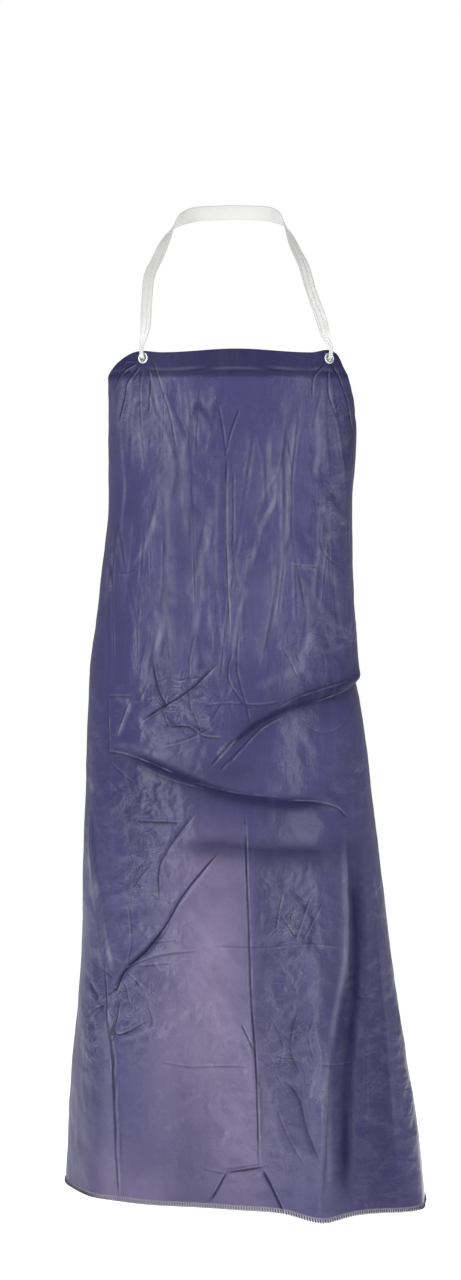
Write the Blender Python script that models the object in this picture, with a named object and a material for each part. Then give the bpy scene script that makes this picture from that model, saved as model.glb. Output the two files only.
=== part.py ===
"""A butcher's bib apron of thin vinyl film, hanging from its neck tape in the shape that a wearer gives it.

Metres, +Z up, the front of the apron towards -Y. The origin is the middle of the neck tape, at the nape.
The film is one sheet with a doubled top hem. Four eyelets are riveted into it, two for the neck tape at the
top corners and two for the waist ties at the side edges. The apron swings on the neck tape about the line
through the two neck eyelets.
"""

import math

import bmesh
import bpy
import numpy as np
from mathutils import Matrix, Vector

MM = 0.001
GAP = 0.3 * MM  # between pieces that touch on the real apron

# Film
FILM_THICK = 0.3 * MM
HEM_DROP = 1.341  # from the nape down to the lowest point of the hem
FILM_COLUMNS = 42
FILM_ROWS = 24
HEM_FOLD = 36 * MM  # height of the doubled top hem
HEM_FOLD_GAP = 0.6 * MM  # between the hem's two layers
STITCH_DROP = 28 * MM  # from the top edge down to the hem's seam

# Horizontal sections of the hanging film, from the hem up: height above the hem, reach to the left and to
# the right of the middle line, depth of the front and of each side, half-widths of the cut film to the left
# and to the right, and how square the section is (2 is an ellipse).
SECTIONS = (
    (0.000, 0.222, 0.250, -0.262, -0.095, -0.165, 0.440, 0.440, 2.0),
    (0.130, 0.219, 0.237, -0.256, -0.092, -0.145, 0.436, 0.436, 2.0),
    (0.290, 0.209, 0.213, -0.244, -0.088, -0.118, 0.425, 0.424, 2.1),
    (0.450, 0.205, 0.194, -0.230, -0.085, -0.100, 0.410, 0.405, 2.2),
    (0.600, 0.201, 0.176, -0.216, -0.084, -0.092, 0.390, 0.380, 2.3),
    (0.720, 0.196, 0.163, -0.206, -0.085, -0.095, 0.365, 0.345, 2.4),
    (0.830, 0.182, 0.158, -0.200, -0.086, -0.095, 0.310, 0.295, 2.4),
    (0.940, 0.171, 0.156, -0.196, -0.086, -0.090, 0.245, 0.232, 2.5),
    (1.030, 0.172, 0.164, -0.192, -0.084, -0.086, 0.212, 0.192, 2.6),
    (1.136, 0.176, 0.168, -0.185, -0.080, -0.080, 0.196, 0.150, 2.6),
)
HEIGHT, LEFT, RIGHT, FRONT, LEFT_SIDE, RIGHT_SIDE, LEFT_CUT, RIGHT_CUT, SQUARE = range(9)
WRAP_DEPTH = 0.17  # how the film turns in behind its widest line
WRAP_INSET = 0.11

# Height of the film's two long edges above the lowest hem point, across the film
HEM_LINE = ((-0.45, 0.026), (-0.30, 0.024), (-0.15, 0.021), (0.0, 0.018), (0.06, 0.013), (0.11, 0.001),
            (0.16, 0.007), (0.25, 0.005), (0.45, 0.010))
TOP_LINE = ((-0.20, 1.104), (-0.165, 1.123), (-0.135, 1.134), (-0.10, 1.132), (0.0, 1.136), (0.10, 1.132),
            (0.134, 1.134), (0.142, 1.129), (0.153, 1.113), (0.20, 1.092))

# Long folds of the skirt: place across the film, half-width, height of the ridge, and where it dies out
SKIRT_FOLDS = ((-0.20, 0.030, 0.006, 0.45), (-0.06, 0.045, -0.006, 0.35), (0.105, 0.026, 0.012, 0.42),
               (0.20, 0.040, -0.007, 0.50), (-0.33, 0.040, 0.010, 0.50), (0.35, 0.040, 0.010, 0.50))

# Eyelets
EYELET_BORE_R = 4.25 * MM
EYELET_BARREL_R = 4.65 * MM
EYELET_HOLE_R = 5.1 * MM  # in the film
EYELET_FLANGE_R = 7.5 * MM
EYELET_CLEAR = 0.5 * MM  # flange and washer stand off the curved film by this much
WASHER_THICK = 0.4 * MM
EYELET_STEPS = 24
NECK_EYELET_X = 0.1227
NECK_EYELET_HEIGHT = 1.1255
WAIST_EYELET_HEIGHT = 0.735
WAIST_EYELET_MARGIN = 0.018  # from the side edge of the film
WAIST_EYELET_SINK = 0.25 * MM  # the film's facets run this far inside its smooth surface there

# Bottom overlock
OVERLOCK_HEIGHT = 5 * MM
OVERLOCK_WALL = 0.5 * MM
THREAD_R = 0.4 * MM

# Neck tape
TAPE_WIDTH = 20 * MM
TAPE_THICK = 1.2 * MM
TAPE_ROPE = 3.2 * MM  # the tape is gathered to this where it goes through an eyelet
TAPE_GATHER = 45 * MM  # length of the gathered end
TAPE_STATIONS = 64
TAPE_SIDES = 8
TAPE_TAIL = 38 * MM

# The tape's route over the wearer's neck, from just above the left eyelet to just above the right one, and
# the way its outer face looks there
TAPE_ROUTE = (
    ((-0.1215, -0.1745, -0.187), (0.0, -1.0, 0.1)),
    ((-0.1182, -0.1600, -0.140), (0.0, -1.0, 0.3)),
    ((-0.1148, -0.1340, -0.102), (-0.1, -0.9, 0.5)),
    ((-0.1050, -0.1100, -0.077), (-0.3, -0.7, 0.7)),
    ((-0.0957, -0.0880, -0.052), (-0.5, -0.5, 0.7)),
    ((-0.0880, -0.0620, -0.032), (-0.8, -0.2, 0.6)),
    ((-0.0760, -0.0340, -0.015), (-0.9, 0.3, 0.3)),
    ((-0.0540, -0.0120, -0.004), (-0.6, 0.8, 0.1)),
    ((-0.0270, -0.0020, -0.001), (-0.2, 1.0, 0.0)),
    ((0.0000, 0.0000, 0.000), (0.0, 1.0, 0.0)),
    ((0.0230, -0.0030, -0.001), (0.3, 1.0, 0.0)),
    ((0.0440, -0.0140, -0.004), (0.7, 0.7, 0.1)),
    ((0.0610, -0.0360, -0.014), (0.9, 0.2, 0.3)),
    ((0.0700, -0.0630, -0.032), (0.8, -0.2, 0.6)),
    ((0.0790, -0.0920, -0.060), (0.5, -0.5, 0.7)),
    ((0.0905, -0.1200, -0.089), (0.3, -0.8, 0.6)),
    ((0.0997, -0.1460, -0.125), (0.1, -0.95, 0.4)),
    ((0.1130, -0.1660, -0.166), (0.0, -1.0, 0.2)),
    ((0.1195, -0.1745, -0.190), (0.0, -1.0, 0.1)),
)

COLOURS = {
    "film": ((0.088, 0.076, 0.200), 0.28, 0.0),
    "thread": ((0.47, 0.46, 0.50), 0.85, 0.0),
    "seam_thread": ((0.10, 0.09, 0.20), 0.7, 0.0),
    "metal": ((0.78, 0.78, 0.80), 0.22, 1.0),
    "tape": ((0.76, 0.76, 0.74), 0.9, 0.0),
}


def clear_scene():
    for obj in list(bpy.data.objects):
        bpy.data.objects.remove(obj)


def material(slot):
    """The Principled material of one slot, made once."""
    if slot in bpy.data.materials:
        return bpy.data.materials[slot]
    colour, roughness, metallic = COLOURS[slot]
    made = bpy.data.materials.new(slot)
    made.use_nodes = True
    shader = made.node_tree.nodes["Principled BSDF"]
    shader.inputs["Base Color"].default_value = (*colour, 1.0)
    shader.inputs["Roughness"].default_value = roughness
    shader.inputs["Metallic"].default_value = metallic
    return made


def add_object(name, data, slot):
    obj = bpy.data.objects.new(name, data)
    bpy.context.scene.collection.objects.link(obj)
    data.materials.append(material(slot))
    return obj


def closed_mesh(name, bm, slot):
    """An object from a closed bmesh, with its faces turned outwards."""
    bmesh.ops.recalc_face_normals(bm, faces=bm.faces)
    mesh = bpy.data.meshes.new(name)
    bm.to_mesh(mesh)
    bm.free()
    mesh.shade_smooth()
    mesh.set_sharp_from_angle(angle=math.radians(40))
    return add_object(name, mesh, slot)


def smooth_through(known, values, at):
    """Values at the places asked for, on a smooth curve through the known ones."""
    known, values = np.asarray(known, float), np.asarray(values, float)
    at = np.clip(np.asarray(at, float), known[0], known[-1])
    slopes = np.gradient(values, known)
    i = np.clip(np.searchsorted(known, at, side="right") - 1, 0, len(known) - 2)
    span = known[i + 1] - known[i]
    t = (at - known[i]) / span
    return (
        values[i] * (1 + 2 * t) * (1 - t) ** 2
        + values[i + 1] * t * t * (3 - 2 * t)
        + span * slopes[i] * t * (1 - t) ** 2
        + span * slopes[i + 1] * t * t * (t - 1)
    )


def section_value(column, height):
    heights = [row[HEIGHT] for row in SECTIONS]
    return smooth_through(heights, [row[column] for row in SECTIONS], height)


def half_section(reach, front, side, square):
    """Half of a section from the middle line outwards: distance along the film, x and y."""
    turn = np.linspace(0, math.pi / 2, 181)
    x = reach * np.sin(turn) ** (2 / square)
    y = side - (side - front) * np.cos(turn).clip(0) ** (2 / square)
    wrap = turn[1:]
    x = np.append(x, reach - WRAP_INSET * (1 - np.cos(wrap)))
    y = np.append(y, side + WRAP_DEPTH * np.sin(wrap))
    along = np.append(0, np.cumsum(np.hypot(np.diff(x), np.diff(y))))
    return along, x, y


def section_point(across, height):
    """x and y of the smooth film at this distance across it and this height."""
    side = 1 if across >= 0 else -1
    reach, depth = (RIGHT, RIGHT_SIDE) if side > 0 else (LEFT, LEFT_SIDE)
    along, x, y = half_section(
        section_value(reach, height),
        section_value(FRONT, height),
        section_value(depth, height),
        section_value(SQUARE, height),
    )
    return side * np.interp(abs(across), along, x), np.interp(abs(across), along, y)


def fold_height(across, height):
    """How far the skirt's long folds stand out of the smooth film."""
    total = 0.0
    for place, half_width, ridge, top in SKIRT_FOLDS:
        fade = max(0.0, 1 - height / top) ** 0.8
        total += ridge * fade * math.exp(-(((across - place) / half_width) ** 2))
    return total


def edge_height(line, across):
    return float(smooth_through([p[0] for p in line], [p[1] for p in line], across))


def film_point(across, height, offset=0.0):
    """A point of the film, or one off its surface by offset, with positive offsets on the outside."""
    def smooth(a, h):
        x, y = section_point(a, h)
        return Vector((x, y, h - HEM_DROP))

    step = 2 * MM
    over = smooth(across + step, height) - smooth(across - step, height)
    up = smooth(across, height + step) - smooth(across, height - step)
    outward = over.cross(up).normalized()
    return smooth(across, height) + outward * (fold_height(across, height) + offset)


def film_frame(across, height):
    """The film's place there, with the outward normal and the direction up along the film."""
    step = 4 * MM
    over = film_point(across + step, height) - film_point(across - step, height)
    up = film_point(across, height + step) - film_point(across, height - step)
    outward = over.cross(up).normalized()
    return film_point(across, height), outward, up.normalized()


def grid_place(column, row):
    """Distance across the film and height of a grid point, from 0 to 1 each way."""
    height = row * SECTIONS[-1][HEIGHT]
    for _ in range(3):
        left, right = section_value(LEFT_CUT, height), section_value(RIGHT_CUT, height)
        across = -left + column * (left + right)
        low, high = edge_height(HEM_LINE, across), edge_height(TOP_LINE, across)
        height = low + row * (high - low)
    return float(across), float(height)


def film_grid(name, columns, rows, offset, slot):
    """A sheet of film over these grid columns and rows, thickened to a closed solid."""
    bm = bmesh.new()
    points = [[bm.verts.new(film_point(*grid_place(c, r), offset)) for c in columns] for r in rows]
    for low, high in zip(points, points[1:]):
        for i in range(len(columns) - 1):
            bm.faces.new((low[i], low[i + 1], high[i + 1], high[i]))
    mesh = bpy.data.meshes.new(name)
    bm.to_mesh(mesh)
    bm.free()
    mesh.shade_smooth()
    obj = add_object(name, mesh, slot)
    thicken = obj.modifiers.new("film_thickness", "SOLIDIFY")
    thicken.thickness = FILM_THICK
    thicken.offset = 0.0
    return obj


def frame_matrix(place, outward, up):
    """A matrix whose Z is the film's outward normal and whose Y is up along the film."""
    z = outward.normalized()
    x = up.cross(z).normalized()
    y = z.cross(x)
    return Matrix.Translation(place) @ Matrix((x, y, z)).transposed().to_4x4()


def turned(name, profile, matrix, slot):
    """A solid of revolution about the matrix's Z from a closed profile of (radius, height) points."""
    bm = bmesh.new()
    rings = []
    for radius, height in profile:
        if radius == 0:
            rings.append([bm.verts.new(matrix @ Vector((0, 0, height)))])
            continue
        ring = []
        for step in range(EYELET_STEPS):
            angle = 2 * math.pi * step / EYELET_STEPS
            place = Vector((radius * math.cos(angle), radius * math.sin(angle), height))
            ring.append(bm.verts.new(matrix @ place))
        rings.append(ring)
    pairs = list(zip(rings, rings[1:]))
    if len(rings[0]) > 1:
        pairs.append((rings[-1], rings[0]))
    for one, other in pairs:
        for i in range(EYELET_STEPS):
            j = (i + 1) % EYELET_STEPS
            if len(one) == 1:
                bm.faces.new((one[0], other[i], other[j]))
            elif len(other) == 1:
                bm.faces.new((one[i], other[0], one[j]))
            else:
                bm.faces.new((one[i], other[i], other[j], one[j]))
    return closed_mesh(name, bm, slot)


def cut(obj, cutter):
    cutter.hide_render = True
    cutter.display_type = "WIRE"
    boolean = obj.modifiers.new("cut_" + cutter.name, "BOOLEAN")
    boolean.operation = "DIFFERENCE"
    boolean.object = cutter


def join(obj, other):
    other.hide_render = True
    other.display_type = "WIRE"
    boolean = obj.modifiers.new("join_" + other.name, "BOOLEAN")
    boolean.operation = "UNION"
    boolean.object = other


def eyelet(name, matrix, layers_back, pierced):
    """A flanged eyelet rolled over its washer, through the pierced sheets, which end at layers_back."""
    front = FILM_THICK / 2 + EYELET_CLEAR
    washer_front = -layers_back - EYELET_CLEAR
    washer_back = washer_front - WASHER_THICK
    lip = washer_back - GAP
    turned(
        name,
        (
            (EYELET_BORE_R, lip - 0.6 * MM),
            (EYELET_BORE_R, front + 0.9 * MM),
            (4.9 * MM, front + 1.45 * MM),
            (6.2 * MM, front + 1.45 * MM),
            (7.1 * MM, front + 0.95 * MM),
            (EYELET_FLANGE_R, front + 0.25 * MM),
            (EYELET_FLANGE_R, front),
            (EYELET_BARREL_R, front),
            (EYELET_BARREL_R, lip + 0.05 * MM),
            (5.6 * MM, lip - 0.1 * MM),
            (5.4 * MM, lip - 0.6 * MM),
        ),
        matrix,
        "metal",
    )
    turned(
        name + "_washer",
        (
            (5.0 * MM, washer_back),
            (5.0 * MM, washer_front),
            (EYELET_FLANGE_R, washer_front),
            (EYELET_FLANGE_R, washer_front - WASHER_THICK / 2),
            (7.0 * MM, washer_back),
        ),
        matrix,
        "metal",
    )
    for sheet in pierced:
        hole = turned(
            name + "_hole_in_" + sheet.name,
            ((0, -6 * MM), (EYELET_HOLE_R, -6 * MM), (EYELET_HOLE_R, 4 * MM), (0, 4 * MM)),
            matrix,
            "metal",
        )
        cut(sheet, hole)


def neck_eyelet_matrix(side):
    """The frame of a neck eyelet: on the hinge line, looking out of the film there."""
    low, high = 0.05, 0.17
    for _ in range(40):
        middle = (low + high) / 2
        if section_point(side * middle, NECK_EYELET_HEIGHT)[0] * side < NECK_EYELET_X:
            low = middle
        else:
            high = middle
    place, outward, up = film_frame(side * low, NECK_EYELET_HEIGHT)
    return frame_matrix(place, outward, up)


def waist_eyelet_matrix(side):
    """The frame of a waist eyelet, on the flat facet of the film that it is riveted through."""
    cut_half = section_value(RIGHT_CUT if side > 0 else LEFT_CUT, WAIST_EYELET_HEIGHT)
    across = side * (cut_half - WAIST_EYELET_MARGIN)
    span = EYELET_FLANGE_R
    over = film_point(across + span, WAIST_EYELET_HEIGHT) - film_point(across - span, WAIST_EYELET_HEIGHT)
    up = film_point(across, WAIST_EYELET_HEIGHT + span) - film_point(across, WAIST_EYELET_HEIGHT - span)
    outward = over.cross(up).normalized()
    return frame_matrix(film_point(across, WAIST_EYELET_HEIGHT, -WAIST_EYELET_SINK), outward, up.normalized())


def thread_line(name, row_drop, columns):
    """A line of stitching on the outside of the film, below its top edge."""
    curve = bpy.data.curves.new(name, "CURVE")
    curve.dimensions = "3D"
    curve.bevel_depth = THREAD_R
    curve.bevel_resolution = 1
    curve.use_fill_caps = True
    spline = curve.splines.new("POLY")
    spline.points.add(len(columns) - 1)
    top = SECTIONS[-1][HEIGHT]
    for point, column in zip(spline.points, columns):
        across, height = grid_place(column, 1 - row_drop / top)
        place = film_point(across, height, FILM_THICK / 2 + GAP + THREAD_R)
        point.co = (*place, 1)
    return add_object(name, curve, "seam_thread")


def overlock(name, columns):
    """A band of overlock stitches folded round the film's bottom edge, as a U section."""
    inner = FILM_THICK / 2 + GAP
    outer = inner + OVERLOCK_WALL
    section = (
        (outer, OVERLOCK_HEIGHT),
        (outer, -GAP - OVERLOCK_WALL),
        (-outer, -GAP - OVERLOCK_WALL),
        (-outer, OVERLOCK_HEIGHT),
        (-inner, OVERLOCK_HEIGHT),
        (-inner, -GAP),
        (inner, -GAP),
        (inner, OVERLOCK_HEIGHT),
    )
    bm = bmesh.new()
    rings = []
    for column in columns:
        place, outward, up = film_frame(*grid_place(column, 0.0))
        rings.append([bm.verts.new(place + outward * out + up * rise) for out, rise in section])
    for one, other in zip(rings, rings[1:]):
        for i in range(len(section)):
            j = (i + 1) % len(section)
            bm.faces.new((one[i], one[j], other[j], other[i]))
    bm.faces.new(rings[0])
    bm.faces.new(rings[-1][::-1])
    return closed_mesh(name, bm, "thread")


def tape_path(matrices):
    """Places, outer-face directions and widths along the neck tape, through both neck eyelets."""
    ends = []
    for matrix in matrices:
        outward = matrix.to_3x3() @ Vector((0, 0, 1))
        up = Vector((0, 0, 1))
        centre = matrix.translation
        ends.append([
            (centre + outward * 0.9 * MM, outward),
            (centre + outward * 3.4 * MM + up * 1.2 * MM, outward),
            (centre + outward * 5.2 * MM + up * 6 * MM, outward),
            (centre + outward * 5.6 * MM + up * 14 * MM, outward),
        ])
    middle = [(Vector(place), Vector(face)) for place, face in TAPE_ROUTE]
    knots = ends[0] + middle + ends[1][::-1]
    places = np.array([place for place, _ in knots])
    faces = np.array([face.normalized() for _, face in knots])
    marks = np.append(0, np.cumsum(np.linalg.norm(np.diff(places, axis=0), axis=1)))
    length = marks[-1]
    # Stations are closer together at the gathered ends.
    even = np.linspace(0, 1, TAPE_STATIONS)
    at = length * (even - 0.11 * np.sin(2 * math.pi * even) / 2)
    path = np.stack([smooth_through(marks, places[:, i], at) for i in range(3)], axis=1)
    face = np.stack([smooth_through(marks, faces[:, i], at) for i in range(3)], axis=1)
    from_end = np.minimum(at, length - at)
    spread = np.clip((from_end - 12 * MM) / TAPE_GATHER, 0, 1)
    spread = spread * spread * (3 - 2 * spread)
    return path, face, spread


def neck_tape(name, matrices):
    """The flat tape, swept along its path and gathered to a rope where it enters the eyelets."""
    path, face, spread = tape_path(matrices)
    bm = bmesh.new()
    rings = []
    for i, place in enumerate(path):
        ahead = path[min(i + 1, len(path) - 1)] - path[max(i - 1, 0)]
        ahead = Vector(ahead).normalized()
        across = ahead.cross(Vector(face[i])).normalized()
        outward = across.cross(ahead)
        half_width = (TAPE_ROPE + (TAPE_WIDTH - TAPE_ROPE) * spread[i]) / 2
        half_thick = (TAPE_ROPE * 0.9 + (TAPE_THICK - TAPE_ROPE * 0.9) * spread[i]) / 2
        ring = []
        for step in range(TAPE_SIDES):
            angle = 2 * math.pi * (step + 0.5) / TAPE_SIDES
            wide = math.copysign(abs(math.cos(angle)) ** 0.6, math.cos(angle))
            thick = math.copysign(abs(math.sin(angle)) ** 0.6, math.sin(angle))
            offset = across * (half_width * wide) + outward * (half_thick * thick)
            ring.append(bm.verts.new(Vector(place) + offset))
        rings.append(ring)
    for one, other in zip(rings, rings[1:]):
        for i in range(TAPE_SIDES):
            j = (i + 1) % TAPE_SIDES
            bm.faces.new((one[i], one[j], other[j], other[i]))
    bm.faces.new(rings[0])
    bm.faces.new(rings[-1][::-1])
    return closed_mesh(name, bm, "tape")


def tape_knot(name, matrix):
    """The knot that stops the tape behind an eyelet, with the tape's cut end hanging from it."""
    knot = turned(
        name,
        (
            (0, -1.5 * MM),
            (1.3 * MM, -1.6 * MM),
            (1.6 * MM, -3.6 * MM),
            (4.8 * MM, -4.4 * MM),
            (7.0 * MM, -7.5 * MM),
            (6.8 * MM, -11.0 * MM),
            (4.2 * MM, -13.6 * MM),
            (0, -14.4 * MM),
        ),
        matrix,
        "tape",
    )
    bm = bmesh.new()
    bmesh.ops.create_cube(bm, size=1.0)
    shape = Matrix.Diagonal((15 * MM, TAPE_TAIL, 1.6 * MM, 1.0))
    lean = Matrix.Rotation(math.radians(7), 4, "X")
    hang = Matrix.Translation((0, -TAPE_TAIL / 2 - 1 * MM, -10 * MM))
    bm.transform(matrix @ hang @ lean @ shape)
    tail = closed_mesh(name + "_tail_guide", bm, "tape")
    join(knot, tail)
    return knot


def build_apron():
    clear_scene()
    columns = np.linspace(0, 1, FILM_COLUMNS + 1)
    fold_row = 1 - HEM_FOLD / SECTIONS[-1][HEIGHT]
    rows = np.append(np.linspace(0, fold_row, FILM_ROWS + 1), (1 + fold_row) / 2)
    rows = np.append(rows, 1.0)
    panel = film_grid("film_panel", columns, rows, 0.0, "film")
    behind = -(FILM_THICK + HEM_FOLD_GAP)
    top_inset = np.array([fold_row, (1 + fold_row) / 2, 1 - 0.5 * MM])
    hem = film_grid("top_hem_fold", columns[1:-1], top_inset, behind, "film")
    thread_line("top_hem_stitching", STITCH_DROP, columns[1:-1])
    overlock("bottom_hem_overlock", columns)
    neck_matrices = []
    for side, word in ((-1, "left"), (1, "right")):
        matrix = neck_eyelet_matrix(side)
        neck_matrices.append(matrix)
        eyelet(word + "_neck_eyelet", matrix, 1.5 * FILM_THICK + HEM_FOLD_GAP, (panel, hem))
        tape_knot(word + "_tape_knot", matrix)
        eyelet(word + "_waist_eyelet", waist_eyelet_matrix(side), FILM_THICK / 2, (panel,))
    neck_tape("neck_tape", neck_matrices)


build_apron()
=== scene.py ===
"""The looks of a butcher's bib apron of thin vinyl film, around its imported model.

Metres, +Z up, the front towards -Y, the origin at the nape of the wearer's neck. "Across" is the distance
along the film from its middle line, to the right as a viewer in front sees it, and "height" is measured from
the lowest point of the hem. The film's sections, edge lines and eyelets repeat the model's own dimensions.
"""
import math

import bmesh
import bpy
import numpy as np
from mathutils import Matrix, Vector


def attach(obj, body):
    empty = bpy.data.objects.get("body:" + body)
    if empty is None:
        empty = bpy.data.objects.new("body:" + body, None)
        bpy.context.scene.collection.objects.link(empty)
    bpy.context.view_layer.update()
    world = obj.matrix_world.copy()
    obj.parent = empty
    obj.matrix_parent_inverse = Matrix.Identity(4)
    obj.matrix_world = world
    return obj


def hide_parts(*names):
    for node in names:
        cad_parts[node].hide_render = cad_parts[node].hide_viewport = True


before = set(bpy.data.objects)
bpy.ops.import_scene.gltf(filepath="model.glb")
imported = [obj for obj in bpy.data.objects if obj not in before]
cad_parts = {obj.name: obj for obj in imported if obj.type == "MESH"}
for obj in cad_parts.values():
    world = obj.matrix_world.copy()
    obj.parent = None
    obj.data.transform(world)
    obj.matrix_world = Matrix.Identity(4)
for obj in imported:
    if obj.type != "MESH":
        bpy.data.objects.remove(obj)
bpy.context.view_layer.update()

MM = 0.001

# ---------------- the model's dimensions
HEM_DROP = 1.341
TOP = 1.136
# Sections of the worn film: height, half-widths, front, sides' depths, cut widths and squareness
SECTIONS = (
    (0.000, 0.222, 0.250, -0.262, -0.095, -0.165, 0.440, 0.440, 2.0),
    (0.130, 0.219, 0.237, -0.256, -0.092, -0.145, 0.436, 0.436, 2.0),
    (0.290, 0.209, 0.213, -0.244, -0.088, -0.118, 0.425, 0.424, 2.1),
    (0.450, 0.205, 0.194, -0.230, -0.085, -0.100, 0.410, 0.405, 2.2),
    (0.600, 0.201, 0.176, -0.216, -0.084, -0.092, 0.390, 0.380, 2.3),
    (0.720, 0.196, 0.163, -0.206, -0.085, -0.095, 0.365, 0.345, 2.4),
    (0.830, 0.182, 0.158, -0.200, -0.086, -0.095, 0.310, 0.295, 2.4),
    (0.940, 0.171, 0.156, -0.196, -0.086, -0.090, 0.245, 0.232, 2.5),
    (1.030, 0.172, 0.164, -0.192, -0.084, -0.086, 0.212, 0.192, 2.6),
    (1.136, 0.176, 0.168, -0.185, -0.080, -0.080, 0.196, 0.150, 2.6),
)
HEIGHT, LEFT, RIGHT, FRONT, LEFT_SIDE, RIGHT_SIDE, LEFT_CUT, RIGHT_CUT, SQUARE = range(9)
WRAP_DEPTH = 0.17
WRAP_INSET = 0.11
HEM_LINE = ((-0.45, 0.026), (-0.30, 0.024), (-0.15, 0.021), (0.0, 0.018), (0.06, 0.013), (0.11, 0.001),
            (0.16, 0.007), (0.25, 0.005), (0.45, 0.010))
TOP_LINE = ((-0.20, 1.104), (-0.165, 1.123), (-0.135, 1.134), (-0.10, 1.132), (0.0, 1.136), (0.10, 1.132),
            (0.134, 1.134), (0.142, 1.129), (0.153, 1.113), (0.20, 1.092))
HEM_FOLD = 36 * MM
FOLD_END = TOP - HEM_FOLD
STITCH_DROP = 28 * MM
FILM_THICK = 0.3 * MM
HEM_FOLD_GAP = 0.6 * MM
NECK_EYELET_X = 0.1227
NECK_EYELET_HEIGHT = 1.1255
WAIST_EYELET_HEIGHT = 0.735
WAIST_EYELET_MARGIN = 0.018


# ---------------- small helpers
def smooth_through(known, values, at):
    """Values at the places asked for, on a smooth curve through the known ones."""
    known, values = np.asarray(known, float), np.asarray(values, float)
    at = np.clip(np.asarray(at, float), known[0], known[-1])
    slopes = np.gradient(values, known)
    i = np.clip(np.searchsorted(known, at, side="right") - 1, 0, len(known) - 2)
    span = known[i + 1] - known[i]
    t = (at - known[i]) / span
    low = values[i] * (1 + 2 * t) + span * slopes[i] * t
    high = values[i + 1] * (3 - 2 * t) + span * slopes[i + 1] * (t - 1)
    return low * (1 - t) ** 2 + high * t * t


def marks_along(line):
    """The distance from the start of a line of points to each of them."""
    return np.append(0, np.cumsum(np.linalg.norm(np.diff(line, axis=0), axis=1)))


def ramp(value, low, high):
    """0 at low, 1 at high, smooth between."""
    t = np.clip((np.asarray(value, float) - low) / (high - low), 0, 1)
    return t * t * (3 - 2 * t)


def bell(value, width):
    return np.exp(-((value / width) ** 2))


def decay(value, reach):
    """1 up to 0, then fading out over the reach."""
    return np.exp(-np.clip(value, 0, None) / reach)


def end_fade(share, length):
    """1 along a route, falling to 0 at both ends."""
    return ramp(share, 0, length) * (1 - ramp(share, 1 - length, 1))


def spot(across, height, place, level, wide, tall):
    """1 at a place given in millimetres, fading out over its width and its height."""
    return bell(across / MM - place, wide) * bell(height / MM - level, tall)


def unit(vectors):
    return vectors / np.maximum(np.linalg.norm(vectors, axis=-1, keepdims=True), 1e-12)


def add_object(name, data):
    obj = bpy.data.objects.new(name, data)
    bpy.context.scene.collection.objects.link(obj)
    return obj


def add_mesh(name, points, faces, material):
    mesh = bpy.data.meshes.new(name)
    mesh.from_pydata([tuple(p) for p in points], [], faces)
    mesh.shade_smooth()
    mesh.materials.append(material)
    return add_object(name, mesh)


def add_vectors(obj, name, values):
    """Stores a vector for each point of a mesh, for its material."""
    attribute = obj.data.attributes.new(name, "FLOAT_VECTOR", "POINT")
    attribute.data.foreach_set("vector", np.asarray(values).reshape(-1).astype(np.float32))


def gather(name, pieces, material):
    """One mesh of several lists of points and faces."""
    points, faces = [], []
    for some_points, some_faces in pieces:
        first = len(points)
        points.extend(some_points)
        faces.extend(tuple(i + first for i in f) for f in some_faces)
    return add_mesh(name, points, faces, material)


def grid_faces(rows, columns):
    """Quads of a grid of points laid out row by row."""
    firsts = [r * columns + c for r in range(rows - 1) for c in range(columns - 1)]
    return [(a, a + 1, a + columns + 1, a + columns) for a in firsts]


def tube_faces(rings, sides, closed=False):
    """Quads round a tube of rings, which is closed into a loop or has a cap at each end."""
    faces = []
    for r in range(rings if closed else rings - 1):
        this, following = r * sides, (r + 1) % rings * sides
        for c in range(sides):
            d = (c + 1) % sides
            faces.append((this + c, this + d, following + d, following + c))
    if not closed:
        faces.append(tuple(reversed(range(sides))))
        faces.append(tuple((rings - 1) * sides + c for c in range(sides)))
    return faces


def swept(path, faces_out, radius, sides=6, flat=1.0):
    """Points and faces of a tube along a path, flattened along faces_out where flat is below 1."""
    path = np.asarray(path, float)
    ahead = unit(np.gradient(path, axis=0))
    across = unit(np.cross(ahead, faces_out))
    out = np.cross(across, ahead)
    angles = 2 * math.pi * np.arange(sides) / sides
    rings = [path + radius * (flat * math.cos(a) * out + math.sin(a) * across) for a in angles]
    return np.stack(rings, axis=1).reshape(-1, 3), tube_faces(len(path), sides)


# ---------------- the film's smooth surface
SECTION_STEP = 4 * MM
ACROSS_STEP = 2 * MM
SECTION_HEIGHTS = np.arange(-0.02, TOP + 0.03, SECTION_STEP)
ACROSS_PLACES = np.arange(-0.50, 0.5001, ACROSS_STEP)


def half_section(reach, front, side, square):
    """A side's x and y along the film, from the front's middle to behind the wearer's side."""
    turn = np.linspace(0, math.pi / 2, 181)
    wrap = turn[1:]
    x = np.append(reach * np.sin(turn) ** (2 / square), reach - WRAP_INSET * (1 - np.cos(wrap)))
    y = side - (side - front) * np.cos(turn).clip(0) ** (2 / square)
    y = np.append(y, side + WRAP_DEPTH * np.sin(wrap))
    return marks_along(np.stack([x, y], axis=1)), x, y


def section_value(column, height):
    return smooth_through([row[HEIGHT] for row in SECTIONS], [row[column] for row in SECTIONS], height)


def section_table():
    """x and y of the smooth film on a fine grid of heights and distances across."""
    table = np.zeros((2, len(SECTION_HEIGHTS), len(ACROSS_PLACES)))
    for k, height in enumerate(SECTION_HEIGHTS):
        for side, reach, depth in ((-1, LEFT, LEFT_SIDE), (1, RIGHT, RIGHT_SIDE)):
            along, x, y = half_section(*(section_value(c, height) for c in (reach, FRONT, depth, SQUARE)))
            here = ACROSS_PLACES * side >= 0
            table[0, k, here] = side * np.interp(abs(ACROSS_PLACES[here]), along, x)
            table[1, k, here] = np.interp(abs(ACROSS_PLACES[here]), along, y)
    return table


TABLE_X, TABLE_Y = section_table()


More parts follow.
